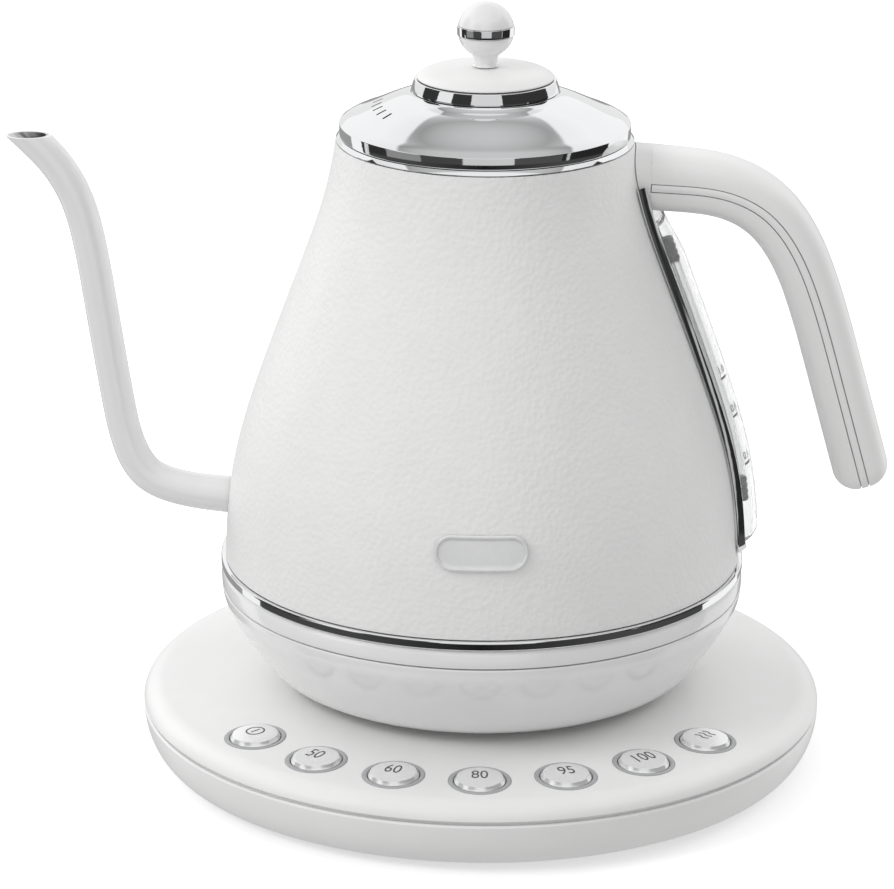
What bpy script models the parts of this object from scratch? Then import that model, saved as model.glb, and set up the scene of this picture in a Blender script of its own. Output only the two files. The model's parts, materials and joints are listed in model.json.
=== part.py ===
"""Gooseneck kettle with a temperature-control base.

Run with: blender --background --python part.py
Lengths are in millimetres and are turned into metres where a mesh is made. +Z is up, the spout
points along -X, the handle along +X and the buttons face -Y. The origin is on the common axis of
the base and the kettle, on the flat underside of the base.
"""
import math

import bmesh
import bpy
import numpy as np
from mathutils import Matrix, Vector

MM = 0.001
GAP = 0.3                       # clearance between two pieces that touch on the real object
BIG = 32                        # sides of the large turned pieces
SMALL = 20                      # sides of the knob and the connector
TINY = 12                       # sides of buttons, feet and screws

# Base
BASE_R = 112.5                  # outer radius, at the seam between the two covers
BASE_SEAM_Z = 16.2
BASE_FOOT_R = 105.0             # radius of the underside
BASE_CROWN_Z = 26.2             # height of the domed top, on the axis
BASE_DOME = 0.000278            # fall of the dome per squared millimetre of radius
BASE_EDGE_R = 105.0             # where the dome rolls over into the side
BASE_WALL = 2.4
SEAT_R = 53.0                   # raised ring under the kettle
SEAT_Z = 26.4
FOOT_PITCH_R = 84.0
FOOT_R = 6.5
FOOT_DROP = 1.5                 # how far the rubber feet stand out below the underside
SCREW_PITCH_R = 70.0
SCREW_HEAD_R = 3.0
SCREW_SHANK_R = 1.4
GLAND_Z = 8.0
GLAND_R = 4.8
GLAND_BORE_R = 3.2

# Buttons, on an arc along the front of the base
BUTTON_COUNT = 7
BUTTON_PITCH_R = 93.6
BUTTON_STEP_DEG = 16.85
BUTTON_R = 8.1
BUTTON_RISE = 1.25              # height of the cap's edge above the dome
BUTTON_CROWN = 0.35             # extra height at the cap's centre
BUTTON_STEM_R = 2.2
BUTTON_STEM_LENGTH = 5.3
RING_R = 9.9
BOARD_Z = 14.0
BOARD_THICK = 1.6
SWITCH_SIZE = 6.0
SWITCH_Z = 17.2

# Connector between base and kettle
PLUG_R = 14.0
PLUG_Z = 35.5
PIN_R = 2.0
PIN_Z = 37.0
SOCKET_R = 19.0
SOCKET_Z = 42.0
UNDERSIDE_Z = 27.4

# Kettle: radius of the body against height, from the band to the neck
BODY_PROFILE = ((67.4, 84.8), (97.0, 82.0), (129.0, 72.9), (162.0, 60.8), (194.0, 50.4), (206.9, 48.0))
BODY_WALL = 1.6
VESSEL_INSET = 5.0              # outside of the vessel, behind the outside of the body
VESSEL_WALL = 1.0
VESSEL_FLOOR_Z = 62.0
BAND_PROFILE = ((82.4, 64.2), (85.0, 64.2), (85.9, 64.8), (86.2, 65.6), (85.9, 66.4), (85.2, 67.1),
                (82.4, 67.1))
BOWL_HOLE_R = 64.0              # where the skirt ends under the kettle
SKIRT_PROFILE = ((86.0, 57.6), (85.4, 54.0), (83.6, 50.0), (79.9, 43.6), (75.0, 36.4), (69.6, 30.2),
                 (BOWL_HOLE_R, 27.5))
SKIRT_WALL = 2.2
SKIRT_RING_Z = (58.0, 63.9)
HEATER_R = 62.0
ELEMENT_R = 40.0
ELEMENT_TUBE_R = 3.2

# Spout: centre line in the XZ plane, from the vessel to the tip
SPOUT_LINE = ((-78.6, 85.1), (-87.0, 85.9), (-100.0, 88.0), (-110.4, 92.9), (-116.2, 103.0), (-119.7, 119.0),
              (-124.7, 152.0), (-128.2, 173.5), (-132.4, 188.0), (-139.5, 199.6), (-146.9, 207.4))
SPOUT_STATIONS = 20
SPOUT_SIDES = 10
SPOUT_ROOT_R = 6.1
SPOUT_TIP_R = 5.3
SPOUT_WALL = 1.1
SPOUT_MOUTH_Z = 207.2           # the tip is cut level at this height

# Handle: centre line in the XZ plane, from the body to the free end
HANDLE_LINE = ((44.0, 194.6), (62.0, 193.7), (76.0, 192.0), (89.3, 185.9), (99.3, 174.0), (106.4, 158.0),
               (113.9, 133.6), (125.6, 92.4))
HANDLE_STATIONS = 13
HANDLE_HALF_WIDTH = 12.0
HANDLE_ROOT_HALF = 10.2         # half thickness at the body
HANDLE_END_HALF = 9.15          # half thickness of the grip
HANDLE_WALL = 2.5
SEAM_DROP = 1.1                 # how far the seam starts below the middle of the handle
SEAM_LEVEL_SHARE = 0.31         # share of the length where the seam reaches the middle
HANDLE_NOSE = 6.0               # length of the rounded end
STRIP_HALF = 1.15
STRIP_DEPTH = 1.4
STRIP_START_X = 53.0

# Level gauge, on the body under the handle
GAUGE_Z = (73.2, 182.5)
GAUGE_HALF = 12.6
GAUGE_RISE = 6.8
GAUGE_FOOT = 5.0                # length of the rounding at the lower end
GAUGE_CROWN = 14.0              # length of the slope at the upper end
GAUGE_WALL = 1.2
GAUGE_LIFT = 0.6                # clearance between the gauge parts and the body
FRAME_HALF = 15.6
FRAME_RISE = 3.0
FRAME_TOP_Z = 194.4             # its legs end beside the root of the handle
FRAME_CORNER = 4.0
FRAME_MARGIN = 1.6              # from the end of the window to the centre of the frame
SEAL_Z = (89.0, 170.0)
SEAL_LENGTH = 8.0
TUBE_R = 1.8
TUBE_OFFSET = 2.6               # centre line of the sight tube above the body

# Emblem plate on the front of the body
EMBLEM_Z = 95.4
EMBLEM_HALF_LENGTH = 15.2
EMBLEM_HALF_HEIGHT = 5.9

# Lid
LID_R = 46.8
LID_BOTTOM_Z = 208.7
LID_RIM_Z = 212.6
LID_WALL = 1.2
COLLAR_R = 23.8
COLLAR_Z = (223.35, 227.1)
CAP_R = 22.1
CAP_TOP_Z = 230.9
NECK_RING_Z = (207.2, 208.4)
PLUG_WALL_R = 41.0              # cup under the lid that fills the mouth of the vessel
PLUG_FLOOR_Z = 200.0
VENT_COUNT = 5
VENT_R = 34.8
VENT_FIRST_DEG = 172.6
VENT_STEP_DEG = 8.6
KNOB_R = 9.05
KNOB_Z = 242.8
KNOB_BAND_Z = (241.2, 244.3)
KNOB_NECK_R = 3.8

COLOURS = {                     # base colour, roughness, metallic
    "white_body": ((0.86, 0.86, 0.85), 0.55, 0.0),
    "white_gloss": ((0.88, 0.88, 0.88), 0.15, 0.0),
    "white_satin": ((0.87, 0.87, 0.86), 0.35, 0.0),
    "chrome": ((0.85, 0.86, 0.87), 0.05, 1.0),
    "steel": ((0.72, 0.72, 0.71), 0.3, 1.0),
    "silver_button": ((0.66, 0.66, 0.67), 0.3, 1.0),
    "grey_ring": ((0.55, 0.56, 0.57), 0.4, 0.0),
    "black_rubber": ((0.03, 0.03, 0.03), 0.8, 0.0),
    "clear_plastic": ((0.93, 0.94, 0.94), 0.08, 0.0),
    "black_plastic": ((0.04, 0.04, 0.04), 0.45, 0.0),
    "circuit_board": ((0.05, 0.25, 0.12), 0.5, 0.0),
    "brass": ((0.75, 0.58, 0.30), 0.25, 1.0),
}


# ---------------------------------------------------------------- tools

def material(name):
    """A Principled material from COLOURS, made once."""
    if name in bpy.data.materials:
        return bpy.data.materials[name]
    made = bpy.data.materials.new(name)
    made.use_nodes = True
    colour, roughness, metallic = COLOURS[name]
    shader = made.node_tree.nodes["Principled BSDF"]
    shader.inputs["Base Color"].default_value = (*colour, 1.0)
    shader.inputs["Roughness"].default_value = roughness
    shader.inputs["Metallic"].default_value = metallic
    return made


def finish(name, mesh_data, finish_name, parent=None):
    """Turns a bmesh in millimetres into a smooth shaded object with outward faces."""
    bmesh.ops.remove_doubles(mesh_data, verts=mesh_data.verts, dist=0.001)
    bmesh.ops.recalc_face_normals(mesh_data, faces=mesh_data.faces)
    bmesh.ops.scale(mesh_data, vec=(MM, MM, MM), verts=mesh_data.verts)
    mesh = bpy.data.meshes.new(name)
    mesh_data.to_mesh(mesh)
    mesh_data.free()
    mesh.shade_smooth()
    mesh.set_sharp_from_angle(angle=math.radians(32))
    made = bpy.data.objects.new(name, mesh)
    bpy.context.collection.objects.link(made)
    mesh.materials.append(material(finish_name))
    made.parent = parent
    return made


def empty(name, place, matrix=None):
    """An empty that carries one moving group, on that group's axis."""
    made = bpy.data.objects.new(name, None)
    bpy.context.collection.objects.link(made)
    turn = matrix or Matrix.Identity(4)
    made.matrix_world = Matrix.Translation(Vector(place) * MM) @ turn
    return made


def turned_mesh(profile, sides):
    """Spins a closed outline of (radius, height) about Z."""
    mesh_data = bmesh.new()
    points = [mesh_data.verts.new((r, 0.0, z)) for r, z in profile]
    edges = [mesh_data.edges.new((a, b)) for a, b in zip(points, points[1:] + points[:1])]
    bmesh.ops.spin(mesh_data, geom=points + edges, cent=(0, 0, 0), axis=(0, 0, 1),
                   angle=math.tau, steps=sides, use_merge=True)
    bmesh.ops.remove_doubles(mesh_data, verts=mesh_data.verts, dist=0.001)
    on_axis = [edge for edge in mesh_data.edges if not edge.link_faces]
    bmesh.ops.delete(mesh_data, geom=on_axis, context="EDGES")
    return mesh_data


def turned(name, profile, finish_name, sides=BIG, parent=None):
    return finish(name, turned_mesh(profile, sides), finish_name, parent)


def ladder_cap(mesh_data, loop):
    """Fills a symmetric loop with strips across it, from the point at its start to the one opposite."""
    count = len(loop)
    for i in range(count // 2):
        corners = (loop[i], loop[i + 1], loop[count - i - 1], loop[-i])
        mesh_data.faces.new(list(dict.fromkeys(corners)))


def loft(name, rings, finish_name, closed=False, ladder=False, parent=None):
    """Joins rings of points into one solid; closed joins the last ring to the first."""
    mesh_data = bmesh.new()
    loops = [[mesh_data.verts.new(point) for point in ring] for ring in rings]
    pairs = list(zip(loops, loops[1:]))
    if closed:
        pairs.append((loops[-1], loops[0]))
    for low, high in pairs:
        for i in range(len(low)):
            k = (i + 1) % len(low)
            mesh_data.faces.new((low[i], low[k], high[k], high[i]))
    for loop in () if closed else (loops[0], loops[-1]):
        if ladder:
            ladder_cap(mesh_data, loop)
        else:
            mesh_data.faces.new(loop)
    return finish(name, mesh_data, finish_name, parent)


def box(name, centre, size, finish_name, parent=None):
    mesh_data = bmesh.new()
    bmesh.ops.create_cube(mesh_data, size=1.0)
    bmesh.ops.scale(mesh_data, vec=size, verts=mesh_data.verts)
    bmesh.ops.translate(mesh_data, vec=centre, verts=mesh_data.verts)
    return finish(name, mesh_data, finish_name, parent)


def rod(name, start, end, radius, finish_name, sides=TINY, parent=None):
    """A plain cylinder between two points."""
    a = Vector(start)
    b = Vector(end)
    mesh_data = bmesh.new()
    bmesh.ops.create_cone(mesh_data, cap_ends=True, segments=sides, radius1=radius, radius2=radius,
                          depth=(b - a).length)
    turn = Vector((0, 0, 1)).rotation_difference(b - a).to_matrix()
    bmesh.ops.rotate(mesh_data, verts=mesh_data.verts, matrix=turn)
    bmesh.ops.translate(mesh_data, vec=(a + b) / 2, verts=mesh_data.verts)
    return finish(name, mesh_data, finish_name, parent)


def boolean(target, tool, operation):
    """Applies a tool object as an exact Boolean and hides it."""
    modifier = target.modifiers.new(tool.name, "BOOLEAN")
    modifier.operation = operation
    modifier.solver = "EXACT"
    modifier.object = tool
    tool.hide_render = True
    tool.display_type = "WIRE"


def cut(target, tool):
    boolean(target, tool, "DIFFERENCE")


def add(target, tool):
    boolean(target, tool, "UNION")


def arc(centre, radii, start_deg, end_deg, steps):
    """Points on an elliptical arc, both ends included."""
    angles = [math.radians(start_deg + (end_deg - start_deg) * i / steps) for i in range(steps + 1)]
    return [(centre[0] + radii[0] * math.cos(a), centre[1] + radii[1] * math.sin(a)) for a in angles]


def polar(radius, degrees, z):
    angle = math.radians(degrees)
    return (radius * math.cos(angle), radius * math.sin(angle), z)


def spline(knots, values, at):
    """Natural cubic curve through the values at the knots, read at the places asked for."""
    knots = np.asarray(knots, float)
    values = np.asarray(values, float)
    count = len(knots)
    step = np.diff(knots)
    system = np.eye(count)
    right = np.zeros(count)
    slope = np.diff(values) / step
    for i in range(1, count - 1):
        system[i, i - 1:i + 2] = (step[i - 1], 2 * (step[i - 1] + step[i]), step[i])
        right[i] = 6 * (slope[i] - slope[i - 1])
    bend = np.linalg.solve(system, right)
    at = np.asarray(at, float)
    i = np.clip(np.searchsorted(knots, at) - 1, 0, count - 2)
    t = at - knots[i]
    first = slope[i] - step[i] * (2 * bend[i] + bend[i + 1]) / 6
    return values[i] + t * (first + t * (bend[i] / 2 + t * (bend[i + 1] - bend[i]) / (6 * step[i])))


def smooth_line(points, count):
    """Evenly spaced points and unit tangents on a smooth curve through points in the XZ plane."""
    points = np.asarray(points, float)
    reach = np.concatenate([[0], np.cumsum(np.linalg.norm(np.diff(points, axis=0), axis=1))])
    fine = np.linspace(0, reach[-1], 400)
    line = np.stack([spline(reach, points[:, 0], fine), spline(reach, points[:, 1], fine)], axis=1)
    length = np.concatenate([[0], np.cumsum(np.linalg.norm(np.diff(line, axis=0), axis=1))])
    even = np.linspace(0, length[-1], count)
    places = np.stack([np.interp(even, length, line[:, k]) for k in (0, 1)], axis=1)
    tangents = np.gradient(line, axis=0)
    tangents /= np.linalg.norm(tangents, axis=1)[:, None]
    ways = np.stack([np.interp(even, length, tangents[:, k]) for k in (0, 1)], axis=1)
    return places, ways / np.linalg.norm(ways, axis=1)[:, None], even


def body_radius(z):
    heights = [point[0] for point in BODY_PROFILE]
    return float(spline(heights, [point[1] for point in BODY_PROFILE], z))


def on_body(azimuth_deg, across, z, rise):
    """A point that is 'across' to the side of an azimuth and 'rise' outward from the body."""
    slope = (body_radius(z + 0.5) - body_radius(z - 0.5))
    scale = 1.0 / math.hypot(1.0, slope)
    radius = body_radius(z) + rise * scale
    angle = math.radians(azimuth_deg) + across / radius
    return (radius * math.cos(angle), radius * math.sin(angle), z - rise * slope * scale)


def shell_outline(outer, wall):
    """Closes an outer outline with an inner one, 'wall' closer to the axis, at the same heights."""
    return list(outer) + [(r - wall, z) for r, z in reversed(outer)]


# ---------------------------------------------------------------- base

def dome_z(radius):
    return BASE_CROWN_Z - BASE_DOME * radius * radius


def dome_tilt():
    """Slope of the dome under the buttons, in radians."""
    return math.atan(2 * BASE_DOME * BUTTON_PITCH_R)


def button_angles():
    middle = (BUTTON_COUNT - 1) / 2
    return [-90.0 + (i - middle) * BUTTON_STEP_DEG for i in range(BUTTON_COUNT)]


def button_frame(degrees):
    """World matrix of a button: on the dome, Z along the dome's outward normal."""
    place = Vector(polar(BUTTON_PITCH_R, degrees, dome_z(BUTTON_PITCH_R))) * MM
    turn = Matrix.Rotation(math.radians(degrees), 4, "Z") @ Matrix.Rotation(dome_tilt(), 4, "Y")
    return Matrix.Translation(place) @ turn


def make_base_top():
    hole_r = PLUG_R + 1.0
    edge_z = dome_z(BASE_EDGE_R)
    rim_z = BASE_SEAM_Z + GAP
    roll = arc((BASE_EDGE_R, rim_z), (BASE_R - BASE_EDGE_R, edge_z - rim_z), 90, 0, 5)
    seat = [(SEAT_R - 4, dome_z(SEAT_R - 4)), (SEAT_R - 3, SEAT_Z), (SEAT_R + 3, SEAT_Z),
            (SEAT_R + 4, dome_z(SEAT_R + 4))]
    outer = [(hole_r, dome_z(hole_r)), *seat, (80.0, dome_z(80.0)), *roll]
    inner_roll = [(r - BASE_WALL, z - BASE_WALL) for r, z in roll[:-1]]
    inner = [(BASE_R - BASE_WALL, rim_z), *reversed(inner_roll), (hole_r, dome_z(hole_r) - BASE_WALL)]
    cover = turned("base_top_cover", outer + inner, "white_satin")
    for number, degrees in enumerate(screw_angles(), 1):
        low = polar(SCREW_PITCH_R, degrees, BASE_WALL + 3.0)
        high = polar(SCREW_PITCH_R, degrees, dome_z(SCREW_PITCH_R) - BASE_WALL / 2)
        add(cover, rod(f"cutter_boss_{number}", low, high, SCREW_HEAD_R + 0.6, "white_satin"))
        top = polar(SCREW_PITCH_R, degrees, BASE_WALL + 13.0)
        bottom = polar(SCREW_PITCH_R, degrees, 0.0)
        cut(cover, rod(f"cutter_pilot_{number}", bottom, top, SCREW_SHANK_R + GAP, "white_satin"))
    for number, degrees in enumerate(button_angles(), 1):
        tool = rod(f"cutter_button_{number}", (0, 0, -6.0), (0, 0, 6.0), RING_R + GAP, "white_satin")
        tool.matrix_world = button_frame(degrees)
        cut(cover, tool)
    return cover


def screw_angles():
    return (30.0, 150.0, 270.0)


def make_base_bottom():
    middle = BASE_FOOT_R - 3.0
    side = arc((middle, BASE_SEAM_Z), (BASE_R - middle, BASE_SEAM_Z), 0, -66, 4)
    outer = [*side, (BASE_FOOT_R - 1.5, 0.0), (0.0, 0.0)]
    within = arc((middle, BASE_SEAM_Z), (BASE_R - middle - BASE_WALL, BASE_SEAM_Z - BASE_WALL), -62, 0, 4)
    inner = [(0.0, BASE_WALL), (BASE_FOOT_R - 2.5, BASE_WALL), *within]
    cover = turned("base_bottom_cover", outer + inner, "white_satin")
    for number, degrees in enumerate(foot_angles(), 1):
        start = polar(FOOT_PITCH_R, degrees, -1.0)
        end = polar(FOOT_PITCH_R, degrees, 1.0)
        cut(cover, rod(f"cutter_foot_{number}", start, end, FOOT_R + GAP, "white_satin"))
    for number, degrees in enumerate(screw_angles(), 1):
        low = polar(SCREW_PITCH_R, degrees, -1.0)
        high = polar(SCREW_PITCH_R, degrees, BASE_WALL + 1.0)
        cut(cover, rod(f"cutter_screw_{number}", low, high, SCREW_SHANK_R + GAP, "white_satin"))
        sunk = polar(SCREW_PITCH_R, degrees, 1.4)
        cut(cover, rod(f"cutter_head_{number}", low, sunk, SCREW_HEAD_R + GAP, "white_satin"))
    cut(cover, rod("cutter_gland", (0, 95.0, GLAND_Z), (0, 120.0, GLAND_Z), GLAND_R + GAP, "white_satin"))
    return cover


def foot_angles():
    return (45.0, 135.0, 225.0, 315.0)


def make_feet_and_screws():
    for number, degrees in enumerate(foot_angles(), 1):
        profile = [(0, 0.7), (FOOT_R, 0.7), (FOOT_R, 0.5 - FOOT_DROP), (FOOT_R - 0.5, -FOOT_DROP),
                   (0, -FOOT_DROP)]
        foot = turned(f"base_foot_{number}", profile, "black_rubber", TINY)
        foot.location = Vector(polar(FOOT_PITCH_R, degrees, 0)) * MM
    for number, degrees in enumerate(screw_angles(), 1):
        head = [(0, 0.2), (SCREW_HEAD_R - 0.5, 0.2), (SCREW_HEAD_R, 0.5), (SCREW_HEAD_R, 1.1)]
        shank = [(SCREW_SHANK_R, 1.1), (SCREW_SHANK_R, 12.0), (0, 13.5)]
        screw = turned(f"base_screw_{number}", head + shank, "steel", TINY)
        screw.location = Vector(polar(SCREW_PITCH_R, degrees, 0)) * MM


def make_boards():
    """The button board follows the arc of buttons and carries one switch under each."""
    half = math.radians(BUTTON_STEP_DEG * 3.6)
    angles = [-math.pi / 2 - half + half * i / 6 for i in range(13)]
    rings = []
    for angle in angles:
        inner = (86.0 * math.cos(angle), 86.0 * math.sin(angle))
        outer = (101.0 * math.cos(angle), 101.0 * math.sin(angle))
        rings.append([(*inner, BOARD_Z), (*outer, BOARD_Z), (*outer, BOARD_Z + BOARD_THICK),
                      (*inner, BOARD_Z + BOARD_THICK)])
    board = loft("button_board", rings, "circuit_board")
    height = SWITCH_Z - BOARD_Z - 0.5
    for number, degrees in enumerate(button_angles(), 1):
        centre = polar(BUTTON_PITCH_R, degrees, SWITCH_Z - height / 2)
        size = (SWITCH_SIZE, SWITCH_SIZE, height)
        add(board, box(f"cutter_switch_{number}", centre, size, "circuit_board"))
    box("power_board", (0, 52.0, 6.0), (60.0, 36.0, 1.6), "circuit_board")


def make_connector():
    """Round plug of the base, and the brass pin on its axis."""
    flange_z = dome_z(20.0) - BASE_WALL - GAP
    groove = [(9.0, PLUG_Z), (9.0, PLUG_Z - 6.0), (7.0, PLUG_Z - 6.0), (7.0, PLUG_Z)]
    core = [(PIN_R + GAP, PLUG_Z), (PIN_R + GAP, 19.0), (0, 19.0), (0, 16.0)]
    outer = [(PLUG_R, 16.0), (PLUG_R + 6.0, 17.0), (PLUG_R + 6.0, flange_z), (PLUG_R, flange_z),
             (PLUG_R, PLUG_Z - 1.0), (PLUG_R - 1.0, PLUG_Z)]
    turned("base_connector", outer + groove + core, "black_plastic", SMALL)
    swivel = empty("kettle_swivel", (0, 0, 0))
    pin = [(0, 19.4), (PIN_R, 19.4), (PIN_R, PIN_Z - 1.0), (PIN_R - 0.8, PIN_Z), (0, PIN_Z)]
    turned("base_centre_pin", pin, "brass", TINY, swivel)
    return swivel


def make_gland():
    """Bushing where the mains cord enters the base, at the back."""
    reach = BASE_R - 1.0
    profile = [(0, 0), (GLAND_R, 0), (GLAND_R, 8.0), (GLAND_R - 0.6, 10.0), (GLAND_BORE_R, 10.0),
               (GLAND_BORE_R, 2.0), (0, 2.0)]
    gland = turned("cord_gland", profile, "black_rubber", TINY)
    place = Matrix.Translation(Vector((0, reach - 7.5, GLAND_Z)) * MM)
    gland.matrix_world = place @ Matrix.Rotation(-math.pi / 2, 4, "X")


def make_buttons():
    edge = BUTTON_R - 0.7
    crown = [(0, BUTTON_RISE + BUTTON_CROWN), (edge * 0.55, BUTTON_RISE + BUTTON_CROWN * 0.75),
             (edge, BUTTON_RISE)]
    skirt = [(BUTTON_R, BUTTON_RISE - 0.7), (BUTTON_R, -1.6), (BUTTON_STEM_R, -1.6)]
    stem = [(BUTTON_STEM_R, -BUTTON_STEM_LENGTH), (0, -BUTTON_STEM_LENGTH)]
    inner = BUTTON_R + GAP
    ring = [(inner, -2.0), (RING_R, -2.0), (RING_R, 0.0), (RING_R - 0.3, 0.2), (inner, 0.2)]
    for number, degrees in enumerate(button_angles(), 1):
        light = turned(f"button_light_ring_{number}", ring, "grey_ring", TINY)
        light.matrix_world = button_frame(degrees)
        carrier = empty(f"button_{number}_axis", (0, 0, 0))
        carrier.matrix_world = button_frame(degrees)
        turned(f"button_cap_{number}", crown + skirt + stem, "silver_button", TINY, carrier)


# ---------------------------------------------------------------- kettle

def body_outline(inset, low, high, steps):
    """Outline of the body moved inward, from bottom to top."""
    heights = [low + (high - low) * i / steps for i in range(steps + 1)]
    return [(body_radius(z) - inset, z) for z in heights]


def make_body(parent):
    low = BODY_PROFILE[0][0]
    high = BODY_PROFILE[-1][0]
    outline = shell_outline(body_outline(0, low, high, 9), BODY_WALL)
    shell = turned("body_shell", outline, "white_body", BIG, parent)
    hole_r = SPOUT_ROOT_R + GAP + 0.2
    cut(shell, rod("cutter_body_spout", (-60, 0, 84.3), (-95, 0, 86.7), hole_r, "white_body"))
    for number, z in enumerate(bracket_screw_heights(), 1):
        cut(shell, rod(f"cutter_body_screw_{number}", (40, 0, z), (60, 0, z), 1.5 + GAP, "white_body"))
    for number, z in enumerate(SEAL_Z, 1):
        cut(shell, rod(f"cutter_body_port_{number}", (50, 0, z), (95, 0, z), 2.5, "white_body"))
    return shell


def make_vessel(parent):
    side = body_outline(VESSEL_INSET, 71.0, 204.0, 6)
    neck_r = side[-1][0]
    outer = [(0, VESSEL_FLOOR_Z), (72.0, VESSEL_FLOOR_Z), (78.5, 65.0), *side, (neck_r, 206.5)]
    inner = [(neck_r - VESSEL_WALL, 206.5)] + [(r - VESSEL_WALL, z) for r, z in reversed(side)]
    inner += [(77.5, 66.0), (71.5, VESSEL_FLOOR_Z + VESSEL_WALL), (0, VESSEL_FLOOR_Z + VESSEL_WALL)]
    pot = turned("vessel", outer + inner, "steel", BIG, parent)
    cut(pot, rod("cutter_vessel_spout", (-60, 0, 84.2), (-95, 0, 86.2), SPOUT_ROOT_R - SPOUT_WALL, "steel"))
    for number, z in enumerate(SEAL_Z, 1):
        cut(pot, rod(f"cutter_vessel_port_{number}", (45, 0, z), (95, 0, z), 1.5, "steel"))
    return pot


def make_rings(parent):
    """Neck ring, chrome band, skirt and underside."""
    inner = body_radius(204.0) - VESSEL_INSET - VESSEL_WALL
    low, high = NECK_RING_Z
    neck = [(inner, low), (47.6, low), (48.0, low + 0.4), (48.0, high - 0.4), (47.6, high), (inner, high)]
    turned("neck_ring", neck, "chrome", BIG, parent)
    turned("chrome_band", BAND_PROFILE, "chrome", BIG, parent)
    low, high = SKIRT_RING_Z
    ring = [(83.6, low), (86.0, low), (86.1, low + 2.0), (85.8, low + 4.4), (85.0, high), (83.6, high)]
    turned("skirt_ring", ring, "white_gloss", BIG, parent)
    inside = [(r - SKIRT_WALL, z + 0.7) for r, z in SKIRT_PROFILE[1:-1]]
    top_r, top_z = SKIRT_PROFILE[0]
    bowl = [*SKIRT_PROFILE, (BOWL_HOLE_R, 29.8), *reversed(inside), (top_r - SKIRT_WALL, top_z)]
    turned("skirt_bowl", bowl, "white_gloss", BIG, parent)
    hole = SOCKET_R + GAP
    foot_z = SEAT_Z + GAP
    rim = BOWL_HOLE_R - GAP - 0.1
    cover = [(hole, UNDERSIDE_Z), (SEAT_R - 3, UNDERSIDE_Z), (SEAT_R - 2, foot_z), (SEAT_R + 2, foot_z),
             (SEAT_R + 3, UNDERSIDE_Z), (rim, UNDERSIDE_Z), (rim, UNDERSIDE_Z + 2.0),
             (hole, UNDERSIDE_Z + 2.0)]
    turned("bottom_cover", cover, "white_satin", BIG, parent)


def make_heater(parent):
    top = VESSEL_FLOOR_Z - GAP
    below = top - 3.0
    turned("heater_plate", [(0, below), (HEATER_R, below), (HEATER_R, top), (0, top)], "steel", BIG, parent)
    centre_z = below - GAP - ELEMENT_TUBE_R
    rings = []
    for i in range(19):
        angle = math.radians(15 + 330 * i / 18)
        ring = []
        for side in range(6):
            turn = math.tau * side / 6
            radius = ELEMENT_R + ELEMENT_TUBE_R * math.cos(turn)
            height = centre_z + ELEMENT_TUBE_R * math.sin(turn)
            ring.append((radius * math.cos(angle), radius * math.sin(angle), height))
        rings.append(ring)
    loft("heating_element", rings, "steel", parent=parent)
    bore = PLUG_R + 0.8
    roof = PLUG_Z + 1.5
    socket = [(0, SOCKET_Z), (0, PIN_Z + 1.0), (PIN_R + 0.6, PIN_Z + 1.0), (PIN_R + 0.6, roof), (7.4, roof),
              (7.4, PLUG_Z - 5.0), (8.6, PLUG_Z - 5.0), (8.6, roof), (bore, roof), (bore, UNDERSIDE_Z),
              (SOCKET_R, UNDERSIDE_Z), (SOCKET_R, SOCKET_Z)]
    turned("kettle_connector", socket, "black_plastic", SMALL, parent)


def circle_ring(place, way, radius, sides):
    """Ring of points around a place in the XZ plane, square to the way."""
    ring = []
    for side in range(sides):
        turn = math.tau * side / sides
        lift = radius * math.cos(turn)
        ring.append((place[0] - way[1] * lift, radius * math.sin(turn), place[1] + way[0] * lift))
    return ring


def make_spout(parent):
    places, ways, _ = smooth_line(SPOUT_LINE, SPOUT_STATIONS)
    radii = np.linspace(SPOUT_ROOT_R, SPOUT_TIP_R, 7).tolist()
    radii += [SPOUT_TIP_R] * (SPOUT_STATIONS - len(radii))
    rings = [circle_ring(p, w, r, SPOUT_SIDES) for p, w, r in zip(places, ways, radii)]
    bores = [circle_ring(p, w, r - SPOUT_WALL, SPOUT_SIDES) for p, w, r in zip(places, ways, radii)]
    for ring in (rings[-1], bores[-1]):
        for i, point in enumerate(ring):
            slide = (SPOUT_MOUTH_Z - point[2]) / ways[-1][1]
            ring[i] = (point[0] + ways[-1][0] * slide, point[1], SPOUT_MOUTH_Z)
    return loft("spout_tube", rings + bores[::-1], "white_gloss", closed=True, parent=parent)


# ---------------------------------------------------------------- handle

def half_thickness(share, side):
    """Distance from the seam to the outside of a shell, thinning over the first half of the handle."""
    middle = HANDLE_ROOT_HALF + (HANDLE_END_HALF - HANDLE_ROOT_HALF) * min(1.0, share * 2.0)
    return middle + side * SEAM_DROP * max(0.0, 1.0 - share / SEAM_LEVEL_SHARE)


def nose_scale(left):
    """Shrinks the section towards the rounded free end."""
    if left >= HANDLE_NOSE:
        return 1.0
    return 0.35 + 0.65 * math.sqrt(1.0 - (1.0 - left / HANDLE_NOSE) ** 2)


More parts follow.
